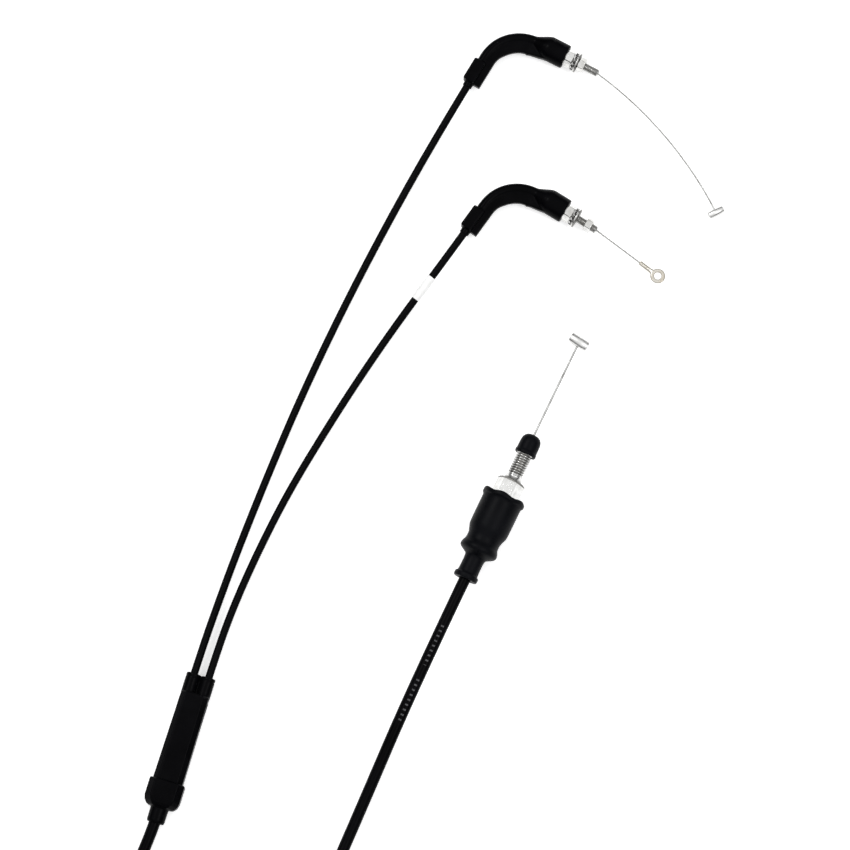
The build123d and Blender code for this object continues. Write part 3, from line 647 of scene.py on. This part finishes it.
def ramp(start, end, count):
    """Outline points from one to another, without the last."""
    return [
        (start[0] + (end[0] - start[0]) * k / count, start[1] + (end[1] - start[1]) * k / count)
        for k in range(count)
    ]


# Shares of a thread's half pitch that are flat at the crest and sloping, and how far inside the
# crest a point may lie and still be cut
CREST_FLAT = 0.14
FLANK = 0.72
CREST_SLACK = 0.01


def add_turned(mesh, outline, columns=64, flats=None, twist=0.0, thread=None, sway=None):
    """Piece turned about the axis from a closed outline of (station, radius) points.

    flats mills away what stands outside a hexagon of that width, turned by twist degrees.  thread
    is (start, end, crest radius, pitch, depth), and sway is a function of station, radius and
    angle that gives a new station and radius."""
    painted_shade = mesh.verts.layers.float.get("painted_shade") or mesh.verts.layers.float.new("painted_shade")
    if thread:
        start, end, crest, pitch, depth = thread
    rings, depths = [], []
    for station, radius in outline:
        ring, cuts = [], []
        for k in range(columns):
            angle = 2 * pi * k / columns
            reach, place, cut = radius, station, 0.0
            if flats and radius > flats / 2:
                reach = min(radius, hexagon_reach(flats, angle - radians(twist)))
            if thread and start <= station <= end and radius > crest - CREST_SLACK:
                wave = abs(2 * ((station / pitch - angle / (2 * pi)) % 1) - 1)
                fade = min(1, (station - start) / pitch, (end - station) / pitch)
                cut = min(1, max(0, (wave - CREST_FLAT) / FLANK)) * max(0, fade)
                reach -= depth * cut
            if sway:
                place, reach = sway(place, reach, angle)
            ring.append(Vector((place, reach * cos(angle), reach * sin(angle))))
            cuts.append(cut)
        rings.append(ring)
        depths.append(cuts)
    rows = add_rings(mesh, rings, looped=True)
    # Each point's thread cut is also kept as its share of painted shade, so the thread's roots are painted dark.
    for row, cuts in zip(rows, depths):
        for vertex, cut in zip(row, cuts):
            vertex[painted_shade] = cut
    return mesh


def turned(name, place, outline, sharp=40, **options):
    return piece_of(name, add_turned(bmesh.new(), outline, **options), place, sharp)


def paint_shade(mesh, chosen):
    """Give the points whose place is chosen full painted shade."""
    painted_shade = mesh.verts.layers.float["painted_shade"]
    for vertex in mesh.verts:
        if chosen(vertex.co):
            vertex[painted_shade] = 1.0


def join(mesh, other, place):
    """Move another bmesh to its place and add it to this one."""
    other.transform(place)
    spare = bpy.data.meshes.new("spare")
    other.to_mesh(spare)
    other.free()
    mesh.from_mesh(spare)
    bpy.data.meshes.remove(spare)


def add_block(mesh, low, high, corner):
    """Box between two corners with rounded edges."""
    made = bmesh.ops.create_cube(mesh, size=1)["verts"]
    for vertex in made:
        vertex.co = Vector([a if c < 0 else b for a, b, c in zip(low, high, vertex.co)])
    edges = list({edge for vertex in made for edge in vertex.link_edges})
    bmesh.ops.bevel(mesh, geom=edges, offset=corner, segments=4, profile=0.5, affect="EDGES")


# ---- wires -------------------------------------------------------------------------------


def rope(name, points, diameter, strands, lay, sides=8):
    """Stranded wire: strands laid round a core strand along a line of points."""
    ratio = sin(pi / strands)
    lay_radius = diameter / 2 / (1 + ratio)
    strand_radius = lay_radius * ratio
    path = sections(points)
    mesh = bmesh.new()
    runs = [0.0]
    for before, after in zip(points, points[1:]):
        runs.append(runs[-1] + (after - before).length)
    for strand in range(-1, strands):
        rings = []
        for (point, tangent, side, other), run in zip(path, runs):
            centre, radius = point, lay_radius - strand_radius
            if strand >= 0:
                phase = 2 * pi * (strand / strands + run / lay)
                radius = strand_radius
                centre = point + (side * cos(phase) + other * sin(phase)) * lay_radius
            angles = [2 * pi * k / sides for k in range(sides)]
            rings.append([centre + (side * cos(a) + other * sin(a)) * radius for a in angles])
        add_rings(mesh, rings)
    return piece_of(name, mesh, sharp=60, weld=1e-8)


# Strands round the core, the length in which they go once round it, and the rings' spacing
LEG_STRANDS, LEG_LAY, LEG_STEP = 6, 0.009, 0.0009
MAIN_STRANDS, MAIN_LAY, MAIN_STEP = 8, 0.013, 0.0010

wire_a_path = even(followed(WIRE_A), LEG_STEP)
wire_a = rope("strands_a", wire_a_path, LEG_WIRE, LEG_STRANDS, LEG_LAY)
finished(wire_a, "rope", "carb_end_a", "wire_rope", "wire_a")

tip_b = MOUTH["b"] @ Vector((STUD_END, 0, 0))
wire_b_ahead = -Vector(joints["carb_pull_b"]["axis"])
wire_b_route = [tip_b + wire_b_ahead * run for run in (-0.0015, 0.008, 0.023, 0.0335)]
wire_b_path = even(followed(wire_b_route), LEG_STEP)
wire_b = rope("strands_b", wire_b_path, LEG_WIRE, LEG_STRANDS, LEG_LAY)
finished(wire_b, "rope", "carb_end_b", "wire_rope", "wire_b")

wire_main_route = [LEVER @ Vector((station, 0, 0)) for station in (70, 96, 125, 155.6)]
wire_main_path = even(followed(wire_main_route), MAIN_STEP)
wire_main = rope("strands_main", wire_main_path, MAIN_WIRE, MAIN_STRANDS, MAIN_LAY)
finished(wire_main, "rope", "throttle_end", "wire_rope", "wire_main")


# ---- splitter ----------------------------------------------------------------------------


def bevelled_section(station, half_width, half_height, cut, rise=0.0):
    """Rectangle with cut corners, square to the axis."""
    w, h = half_width, half_height
    corners = [(w, cut - h), (w, h - cut), (w - cut, h), (cut - w, h)]
    corners += [(-w, h - cut), (-w, cut - h), (cut - w, -h), (w - cut, -h)]
    return [Vector((station, y, z + rise)) for y, z in corners]


SOCKET_SIDE = 4.5
CAP_RISE = 0.8
SHELL_VOXEL = 0.30
SHELL_SMOOTHING = 4


def splitter_body_piece():
    """The body, with a socket for each leg, a block between them and a rib on each side."""
    mesh = bmesh.new()
    add_rings(
        mesh,
        [
            bevelled_section(-31.5, 7.4, 5.3, 1.5),
            bevelled_section(-27.2, 7.4, 5.3, 1.5),
            bevelled_section(-27.1, 9.1, 6.95, 3.0),
            bevelled_section(26.6, 8.5, 6.95, 3.0),
            bevelled_section(27.4, 8.1, 6.5, 3.0),
        ],
    )
    for side in (SOCKET_SIDE, -SOCKET_SIDE):
        socket = [(26.0, 0), (26.0, 4.4), (36.6, 4.4), (36.6, 4.05), (37.2, 4.05), (37.2, 4.4)]
        socket += [(38.6, 4.4), (39.0, 4.1), (39.0, 2.45), (38.2, 2.3), (38.2, 0)]
        start = len(mesh.verts)
        add_turned(mesh, socket, columns=48)
        mesh.verts.ensure_lookup_table()
        for vertex in mesh.verts[start:]:
            vertex.co.y += side
    add_block(mesh, (26.5, -4.2, -4.0), (36.0, 4.2, 1.2), 0.6)
    for side in (1, -1):
        low, high = sorted((side * 8.3, side * 8.95))
        add_block(mesh, (-23, low, -0.45), (24, high, 0.45), 0.2)
    body = moulded(piece_of("splitter_shell", mesh, SPLITTER), SHELL_VOXEL, SHELL_SMOOTHING)
    finished(body, "moulded", "root", "moulded_black", "splitter_body")


def splitter_cap_piece():
    """The end cap, and the neck that the main casing goes into."""
    mesh = bmesh.new()
    add_rings(
        mesh,
        [
            bevelled_section(-26.95, 10.2, 7.2, 3.2, CAP_RISE),
            bevelled_section(-27.6, 10.75, 7.75, 3.6, CAP_RISE),
            bevelled_section(-38.0, 10.75, 7.75, 3.8, CAP_RISE),
            bevelled_section(-40.6, 10.1, 7.2, 4.2, CAP_RISE * 0.7),
            bevelled_section(-42.4, 8.7, 6.5, 4.0, CAP_RISE * 0.3),
            bevelled_section(-43.2, 7.2, 5.9, 3.6),
        ],
    )
    neck = [(-42.0, 0), (-42.0, 6.4), (-43.6, 5.5), (-51.2, 5.4), (-52.4, 4.9), (-52.4, 3.6)]
    add_turned(mesh, neck + [(-51.9, 3.5), (-51.9, 0)], columns=56)
    cap = moulded(piece_of("splitter_end_cap", mesh, SPLITTER), SHELL_VOXEL, SHELL_SMOOTHING)
    finished(cap, "moulded", "root", "moulded_black", "splitter_cap")


splitter_body_piece()
splitter_cap_piece()


# ---- elbows ------------------------------------------------------------------------------

ELBOW_TURN = radians(86.5)
ELBOW_RADIUS = 24.0
ENTRY_STRAIGHT = 18.8
EXIT_STRAIGHT = 19.6
ARC_LENGTH = ELBOW_RADIUS * ELBOW_TURN


def elbow_place(run):
    """Point, heading and left side of an elbow's centre line, in the frame of its mouth."""
    left_angle = ELBOW_TURN
    if run > ENTRY_STRAIGHT:
        left_angle = max(0.0, ELBOW_TURN - (run - ENTRY_STRAIGHT) / ELBOW_RADIUS)
    ahead = Vector((cos(left_angle), sin(left_angle), 0))
    point = Vector((-EXIT_STRAIGHT, -ELBOW_RADIUS, 0))
    point += Vector((-sin(left_angle), cos(left_angle), 0)) * ELBOW_RADIUS
    if run < ENTRY_STRAIGHT:
        point -= ahead * (ENTRY_STRAIGHT - run)
    elif left_angle == 0:
        point += ahead * (run - ENTRY_STRAIGHT - ARC_LENGTH)
    return point, ahead, Vector((-ahead.y, ahead.x, 0))


# Along the elbow: run, the tube's radius, the inner web's reach and its half height
ELBOW_SHAPE = [
    (0.0, 3.15, 7.1, 2.5),
    (18.0, 3.15, 7.1, 2.5),
    (24.0, 3.15, 7.6, 2.4),
    (30.0, 3.2, 8.5, 2.3),
    (36.0, 3.2, 8.9, 2.3),
    (50.2, 3.25, 9.2, 2.3),
    (50.9, 3.25, 9.9, 2.3),
    (51.6, 3.25, 9.6, 2.3),
    (60.0, 3.6, 8.2, 2.8),
    (64.0, 3.8, 7.4, 3.2),
]
ELBOW_LENGTH = ELBOW_SHAPE[-1][0]
ELBOW_RINGS = 80
ELBOW_VOXEL = 0.32
WEB_SQUARENESS = 9


def shape_at(run):
    return [stepped([(row[0], row[k]) for row in ELBOW_SHAPE], run) for k in (1, 2, 3)]


def elbow_section(run, columns=96):
    """A round tube with a lower web on the inner side of the bend."""
    point, _, left = elbow_place(run)
    radius, web, half = shape_at(run)
    power = WEB_SQUARENESS
    ring = []
    for k in range(columns):
        angle = 2 * pi * k / columns
        out, rise = cos(angle), sin(angle)
        reach = radius
        if out < 0:
            corner = abs(out / web) ** power + abs(rise / half) ** power
            reach = max(reach, corner ** (-1 / power))
        ring.append(point + left * out * reach + UP * rise * reach)
    return ring


def elbow_piece(leg):
    """Curved cover, with a bell at its mouth and a block and sleeve at its entry."""
    mesh = bmesh.new()
    runs = [ELBOW_LENGTH * k / ELBOW_RINGS for k in range(ELBOW_RINGS + 1)]
    add_rings(mesh, [elbow_section(run) for run in runs])
    bell = [(-22.0, 0), (-22.0, 3.2), (-20.8, 3.5), (-18.4, 4.7), (-15.0, 6.5), (-12.8, 7.4)]
    bell += [(-11.6, 7.6), (-0.7, 7.55), (0, 7.2), (0, 5.9), (-0.5, 5.5), (-0.5, 0)]
    add_turned(mesh, bell, columns=64)
    entry, ahead, left = elbow_place(0)
    local = Matrix((ahead, left, UP)).transposed().to_4x4()
    local.translation = entry
    block = bmesh.new()
    add_block(block, (0.2, -2.9, -5.0), (15.0, 4.6, 5.0), 1.0)
    sleeve = [(-3.0, 0), (-3.0, 2.6), (-2.7, 2.95), (2.0, 2.95), (2.0, 0)]
    add_turned(block, sleeve, columns=40)
    join(mesh, block, local)
    cover = moulded(piece_of(f"elbow_{leg}", mesh, MOUTH[leg]), ELBOW_VOXEL, SHELL_SMOOTHING)
    finished(cover, "moulded", "root", "moulded_black", f"elbow_cover_{leg}")


for leg in ("a", "b"):
    elbow_piece(leg)


# ---- studs, washers and nuts -------------------------------------------------------------


def thread_rows(start, end, radius, pitch, per_turn=12):
    count = round((end - start) / pitch * per_turn)
    return [(start + (end - start) * k / count, radius) for k in range(count + 1)]


STUD_PITCH = 0.8
STUD_RADIUS = 2.5
STUD_THREAD_START = 5.2
STUD_THREAD_DEPTH = 0.42
COLLAR_FLATS = 10.0
COLLAR_TWIST = 26.0


def stud_piece(leg):
    """Hexagonal collar at the elbow's mouth, and the threaded stud on it."""
    outline = [(0, 1.3), (0, 4.6), (0.05, 5.0)]
    outline += ramp((0.05, 5.25), (0.55, 5.8), 4) + [(0.55, 5.8), (4.05, 5.8)]
    outline += ramp((4.05, 5.8), (4.6, 5.15), 4) + [(4.6, 5.15), (4.6, 2.3), (5.0, 2.2)]
    outline += thread_rows(STUD_THREAD_START, 21.5, STUD_RADIUS, STUD_PITCH)
    outline += [(STUD_END, 2.05), (STUD_END, 1.5), (21.8, 1.3)]
    thread = (STUD_THREAD_START, 21.9, STUD_RADIUS, STUD_PITCH, STUD_THREAD_DEPTH)
    options = {"flats": COLLAR_FLATS, "twist": COLLAR_TWIST, "columns": 72, "thread": thread}
    stud = turned(f"threaded_stud_{leg}", MOUTH[leg], outline, **options)
    finished(stud, "zinc", "root", "zinc_steel", f"stud_{leg}")


WASHER_TEETH = 12
TOOTH_ROOT = 4.8
TOOTH_STATION = 5.8


def toothed_washer_piece(leg):
    """Lock washer: a disc and a ring of twisted teeth, with painted shade up to the teeth's roots."""
    mesh = bmesh.new()
    disc = [(5.45, 2.65), (5.45, 4.3), (5.55, 4.4), (6.05, 4.4), (6.15, 4.3), (6.15, 2.65)]
    add_turned(mesh, disc, columns=72)
    corners = [(-0.3, -0.95), (0.3, -0.95), (0.3, 0.95), (-0.3, 0.95)]
    for k in range(WASHER_TEETH):
        spin = Matrix.Rotation(2 * pi * k / WASHER_TEETH, 4, "X")
        rings = []
        for reach, lean in ((4.1, 8), (4.6, 24), (5.2, 34), (5.75, 38)):
            tilt = Matrix.Rotation(radians(lean), 4, "Y")
            ring = []
            for x, z in corners:
                spot = tilt @ Vector((x, 0, z))
                ring.append(spin @ Vector((TOOTH_STATION + spot.x, reach, spot.z)))
            rings.append(ring)
        add_rings(mesh, rings)
    paint_shade(mesh, lambda spot: spot.yz.length < TOOTH_ROOT)
    washer = bevelled(piece_of(f"tooth_washer_{leg}", mesh, MOUTH[leg]), 0.06, 1)
    finished(washer, "zinc", "root", "zinc_steel", f"toothed_washer_{leg}")


# The flat washer is painted dark with shade except on the rim between these stations.
UNSHADED_RIM = (7.2, 8.05)


def flat_washer_piece(leg):
    """Flat washer, painted dark with shade except on its rim, between the stations given just above it."""
    outline = [(7.1, 2.75), (7.1, 5.9), (7.25, 6.12), (7.5, 6.2), (8.1, 6.2), (8.27, 6.08)]
    outline += [(8.3, 5.9), (8.3, 2.85), (8.2, 2.65), (7.2, 2.65)]
    mesh = add_turned(bmesh.new(), outline, columns=96)
    paint_shade(mesh, lambda spot: spot.x < UNSHADED_RIM[0] or spot.x > UNSHADED_RIM[1])
    washer = piece_of(f"plain_washer_{leg}", mesh, MOUTH[leg])
    finished(washer, "zinc", "root", "zinc_steel", f"flat_washer_{leg}")


NUT_FLATS = 8.0
NUT_LENGTH = 4.2
NUT_START = {"a": 8.5, "b": 14.2}
NUT_TWIST = {"a": 40.0, "b": 28.0}


def nut_piece(leg):
    start = NUT_START[leg]
    end = start + NUT_LENGTH
    corner = 4.62
    outline = [(start, 2.95), (start, 3.7)]
    outline += ramp((start + 0.02, 3.85), (start + 0.55, corner), 5) + [(start + 0.55, corner)]
    outline += ramp((end - 0.55, corner), (end - 0.02, 3.85), 5) + [(end - 0.02, 3.85)]
    outline += [(end, 3.7), (end, 2.95), (end - 0.4, 2.55), (start + 0.4, 2.55)]
    options = {"flats": NUT_FLATS, "twist": NUT_TWIST[leg], "columns": 72}
    nut = turned(f"hex_nut_{leg}", MOUTH[leg], outline, **options)
    finished(nut, "zinc", f"nut_{leg}", "zinc_steel", f"nut_{leg}")


for leg in ("a", "b"):
    stud_piece(leg)
    toothed_washer_piece(leg)
    flat_washer_piece(leg)
    nut_piece(leg)


# ---- nipples and eyelet ------------------------------------------------------------------


def nipple(name, end, length, radius, hole, wire_heading, body, node):
    """Barrel nipple across the wire: chamfered and dished ends, with a countersunk wire hole."""
    place = BARREL[end]
    half = length / 2
    outline = [(-half + 0.25, 0), (-half + 0.2, radius * 0.45), (-half, radius * 0.62)]
    outline += [(-half, radius - 0.55), (-half + 0.12, radius - 0.25), (-half + 0.45, radius)]
    outline += [(half - 0.45, radius), (half - 0.12, radius - 0.25), (half, radius - 0.55)]
    outline += [(half, radius * 0.62), (half - 0.2, radius * 0.45), (half - 0.25, 0)]
    barrel = turned(name, place, outline, columns=72)
    mouth = [(0, 0), (0, hole), (radius - 0.8, hole), (radius + 0.4, hole + 1.0), (radius + 0.4, 0)]
    cutter = turned("cutter", None, mouth, columns=32)
    cutter.data.transform(place @ Matrix.Rotation(radians(wire_heading), 4, "Z"))
    cut = barrel.modifiers.new("wire_hole", "BOOLEAN")
    cut.object = cutter
    cut.operation = "DIFFERENCE"
    cut.solver = "EXACT"
    with_modifiers(barrel)
    bpy.data.objects.remove(cutter)
    return finished(barrel, "nipple", body, "nipple_metal", node)


nipple_a = nipple(
    "barrel_nipple_a",
    "a",
    length=10.0,
    radius=2.35,
    hole=0.62,
    wire_heading=90,
    body="carb_end_a",
    node="barrel_a",
)
nipple_main = nipple(
    "barrel_nipple_main",
    "main",
    length=12.2,
    radius=3.3,
    hole=0.85,
    wire_heading=-82.6,
    body="throttle_end",
    node="barrel_main",
)


def eyelet_piece():
    """Ring and crimped shank; the shank's axis runs into the ring along +X."""
    mesh = bmesh.new()
    flat_ring = [(-0.5, 2.25), (-0.78, 2.6), (-0.78, 4.0), (-0.5, 4.45), (0, 4.6), (0.5, 4.45)]
    flat_ring += [(0.78, 4.0), (0.78, 2.6), (0.5, 2.25), (0, 2.15)]
    ring = bmesh.new()
    add_turned(ring, flat_ring, columns=96)
    join(mesh, ring, Matrix.Rotation(-pi / 2, 4, "Y"))
    shank = [(-13.6, 1.15, 1.15), (-13.45, 1.4, 1.4), (-12.4, 1.42, 1.4), (-12.1, 1.44, 1.24)]
    shank += [(-10.5, 1.44, 1.22), (-10.2, 1.42, 1.38), (-9.4, 1.42, 1.38), (-9.1, 1.44, 1.24)]
    shank += [(-7.5, 1.44, 1.22), (-7.2, 1.42, 1.38), (-6.2, 1.42, 1.36), (-5.2, 1.5, 1.1)]
    shank += [(-4.2, 1.7, 0.8), (-3.4, 1.9, 0.74), (-2.75, 1.9, 0.7)]
    rings = []
    for station, wide, tall in shank:
        angles = [2 * pi * k / 40 for k in range(40)]
        rings.append([Vector((station, wide * cos(a), tall * sin(a))) for a in angles])
    add_rings(mesh, rings)
    eyelet = moulded(piece_of("crimped_eyelet", mesh, EYELET), 0.13, 2)
    return finished(eyelet, "eyelet", "carb_end_b", "eyelet_metal", "eyelet_b")


eyelet = eyelet_piece()


# ---- marker sleeve -----------------------------------------------------------------------


SLEEVE_STEP = 0.00025
SLEEVE_HALF_LENGTH = 0.00825
SLEEVE_BORE_RADIUS = 0.00236
SLEEVE_END_RADIUS = 0.00268
SLEEVE_SWELL = 0.00012
SLEEVE_RIPPLE = 0.00002


def marker_piece():
    """White sleeve on leg b's casing: rounded at its ends and very slightly uneven."""
    low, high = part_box("marker_sleeve")
    centre = (low + high) / 2
    path = even(followed(LEG_ROUTE["b"]), SLEEVE_STEP)
    nearest = min(range(len(path)), key=lambda i: (path[i] - centre).length)
    reach = round(SLEEVE_HALF_LENGTH / SLEEVE_STEP)
    placed = sections(path[nearest - reach : nearest + reach + 1])
    angles = [2 * pi * k / 48 for k in range(48)]
    last = len(placed) - 1
    outer, inner = [], []
    for i, (point, _, side, other) in enumerate(placed):
        from_end = min(i, last - i) / 4
        swell = SLEEVE_SWELL * min(1, from_end) ** 0.5
        radius = SLEEVE_END_RADIUS + swell + SLEEVE_RIPPLE * sin(i * 0.45)
        rays = [side * cos(a) + other * sin(a) for a in angles]
        outer.append([point + ray * radius for ray in rays])
        inner.append([point + ray * SLEEVE_BORE_RADIUS for ray in rays])
    mesh = bmesh.new()
    add_rings(mesh, outer + inner[::-1], looped=True)
    sleeve = piece_of("white_marker", mesh, weld=1e-7)
    return finished(sleeve, "sleeve", "root", "white_sleeve", "marker_sleeve")


marker = marker_piece()


# ---- lever end ---------------------------------------------------------------------------


HEX_FLATS = 15.0
HEX_TWIST = 26.0
LEVER_PITCH = 1.5
LEVER_RADIUS = 4.9
LEVER_THREAD_START = 67.7
LEVER_THREAD_DEPTH = 0.78


def lip_sway(station, radius, angle):
    """The lip is stretched over the hexagon's corners, and two mould lines run along the boot."""
    seam = max(0, 1 - abs(sin(angle)) / 0.10)
    if radius > 6.1 and 1 < station < 51:
        radius += 0.10 * seam
    lobes = cos(6 * (angle - radians(HEX_TWIST)))
    share = max(0, (station - 47.5) / 6)
    return station + 0.45 * share * lobes, radius + 0.06 * share * lobes - 0.04 * share


boot_neck = [(-1.0, 6.6), (-0.85, 7.2), (-0.1, 7.5), (1.6, 7.5), (2.3, 7.25), (2.5, 6.5)]
boot_neck += [(3.0, 6.2), (8, 6.1), (12.9, 6.15), (13.9, 6.5)]
boot_shoulder = [(15.1, 8.6), (16.3, 10.8), (17.4, 11.65), (18.7, 11.7), (20.1, 11.4)]
boot_shoulder += [(21.8, 10.5), (23.0, 10.2), (25.8, 10.2), (27.0, 10.45), (30.6, 11.9)]
boot_shoulder += [(32.0, 12.15), (40, 12.2), (49.4, 12.2)]
boot_lip = [(51.0, 12.35), (51.7, 13.2), (52.2, 13.42), (53.9, 13.42), (54.35, 13.2), (54.4, 12.4)]
boot_inside = [(54.4, 9.4), (54.2, 8.9), (50.0, 8.85), (48.6, 10.2), (34, 10.3), (28, 8.5)]
boot_inside += [(19, 8.5), (15.6, 6.0), (15.4, 3.9), (14.6, 3.72), (0.0, 3.72), (-0.8, 3.9)]
boot_inside += [(-1.0, 4.6)]
boot_outline = boot_neck + boot_shoulder + boot_lip + boot_inside
boot = turned("rubber_boot", LEVER, boot_outline, columns=72, sway=lip_sway, sharp=180)
subdivided(boot, 1)
finished(boot, "rubber", "boot", "rubber_black", "boot")

adjuster_outline = [(38, 3.25), (38, 7.2), (38.4, 7.7), (49.9, 7.8), (50.0, 7.9)]
adjuster_outline += ramp((50.0, 8.2), (50.6, 8.68), 4) + [(50.6, 8.68), (63.2, 8.68)]
adjuster_outline += [(63.4, 8.68)] + ramp((63.7, 8.68), (64.6, 7.2), 8) + [(64.6, 7.2), (64.6, 5.8)]
adjuster_outline += [(64.9, 5.6), (66.4, 4.95), (67.0, 4.72), (67.4, 4.72)]
adjuster_outline += thread_rows(LEVER_THREAD_START, 92.4, LEVER_RADIUS, LEVER_PITCH)
adjuster_outline += [(93.5, 3.9), (93.5, 1.9), (93.1, 1.5), (49.1, 1.5), (49.05, 4.65)]
adjuster_outline += [(45.95, 4.65), (45.95, 3.25)]
adjuster_mesh = add_turned(
    bmesh.new(),
    adjuster_outline,
    columns=96,
    flats=HEX_FLATS,
    twist=HEX_TWIST,
    thread=(LEVER_THREAD_START, 93.4, LEVER_RADIUS, LEVER_PITCH, LEVER_THREAD_DEPTH),
)
# Painted shade: a dark band on the hexagon's chamfered end, next to the thread.
paint_shade(adjuster_mesh, lambda spot: 63.3 < spot.x < 65.0 and spot.yz.length > 5.4)
adjuster = piece_of("hex_adjuster", adjuster_mesh, LEVER)
finished(adjuster, "zinc", "adjuster", "zinc_steel", "adjuster")


def cap_sway(station, radius, angle):
    """A pinch of unevenness in the dust cap's rim."""
    share = max(0, 1 - (station - 82) / 3) if radius > 5 else 0
    lift = 0.18 * share * sin(3 * angle + 0.6)
    return station + lift, radius - 0.08 * share * (1 + cos(2 * angle))


cap_outside = [(82.0, 5.3), (82.05, 6.3), (82.4, 6.72), (83.6, 6.72), (84.2, 6.55), (84.5, 6.28)]
cap_outside += [(86.0, 6.25), (89.4, 6.25), (90.6, 6.15), (91.8, 5.9), (92.9, 5.4), (93.8, 4.7)]
cap_outside += [(94.5, 3.8), (94.9, 2.7), (95.0, 1.8)]
cap_inside = [(95.0, 1.35), (94.8, 1.12), (93.6, 1.12), (93.56, 3.95), (92.6, 4.96), (82.3, 4.96)]
cap_outline = cap_outside + cap_inside
cap = turned("rubber_dust_cap", LEVER, cap_outline, columns=64, sway=cap_sway, sharp=180)
subdivided(cap, 1)
finished(cap, "rubber", "dust_cap", "rubber_black", "dust_cap")


# ---- pieces inside, kept as the CAD has them ---------------------------------------------

INSIDE = {
    "zinc": ["splitter_leg_ferrules", "splitter_main_ferrule", "lever_ferrule"],
    "hidden_steel": ["elbow_tube_a", "elbow_tube_b", "elbow_ferrule_a", "elbow_ferrule_b"],
    "rope": ["splitter_leg_wires", "splitter_main_wire"],
    "nipple": ["shuttle_leg_nipples", "shuttle_main_nipple"],
    "nylon": ["shuttle"],
}
for look, names in INSIDE.items():
    for name in names:
        node = frame["nodes"][name]
        node.data.materials.clear()
        node.data.materials.append(LOOKS[look].material)


# ---- floor and light ---------------------------------------------------------------------


def floor_look():
    look = Look("floor", roughness=0.9, Specular_IOR_Level=0.1, Emission_Strength=0.45)
    look.shader.inputs["Emission Color"].default_value = (1, 1, 1, 1)
    look.colour(look.mix(look.noise(0.002, 2), (0.95, 0.95, 0.95), (0.96, 0.96, 0.96)))
    return look


floor_mesh = bmesh.new()
bmesh.ops.create_grid(floor_mesh, x_segments=1, y_segments=1, size=4)
floor = piece_of("floor", floor_mesh)
floor.data.materials.append(floor_look().material)


def softbox(name, place, size, power):
    lamp = bpy.data.lights.new(name, "AREA")
    lamp.shape = "RECTANGLE"
    lamp.size, lamp.size_y = size
    lamp.energy = power
    light = bpy.data.objects.new(name, lamp)
    SCENE.collection.objects.link(light)
    light.location = place
    light.rotation_euler = (CAMERA_TARGET - light.location).to_track_quat("-Z", "Y").to_euler()


softbox("key", Vector((-1.1, 1.3, 2.5)), (0.8, 0.8), 24)
softbox("fill", Vector((1.4, -0.2, 2.4)), (0.7, 0.7), 12)

world = bpy.data.worlds.new("studio")
world.use_nodes = True
SCENE.world = world
nodes, links = world.node_tree.nodes, world.node_tree.links
direction = nodes.new("ShaderNodeTexCoord").outputs["Generated"]
split = nodes.new("ShaderNodeSeparateXYZ")
links.new(direction, split.inputs["Vector"])
sky = nodes.new("ShaderNodeValToRGB")
links.new(split.outputs["Z"], sky.inputs["Fac"])
stops = sky.color_ramp.elements
stops[0].position, stops[0].color = 0.30, (0.04, 0.04, 0.042, 1)
stops[1].position, stops[1].color = 0.74, (1.0, 1.0, 1.0, 1)
background = nodes["Background"]
links.new(sky.outputs["Color"], background.inputs["Color"])
background.inputs["Strength"].default_value = 1.15
SCENE.view_settings.view_transform = "Standard"
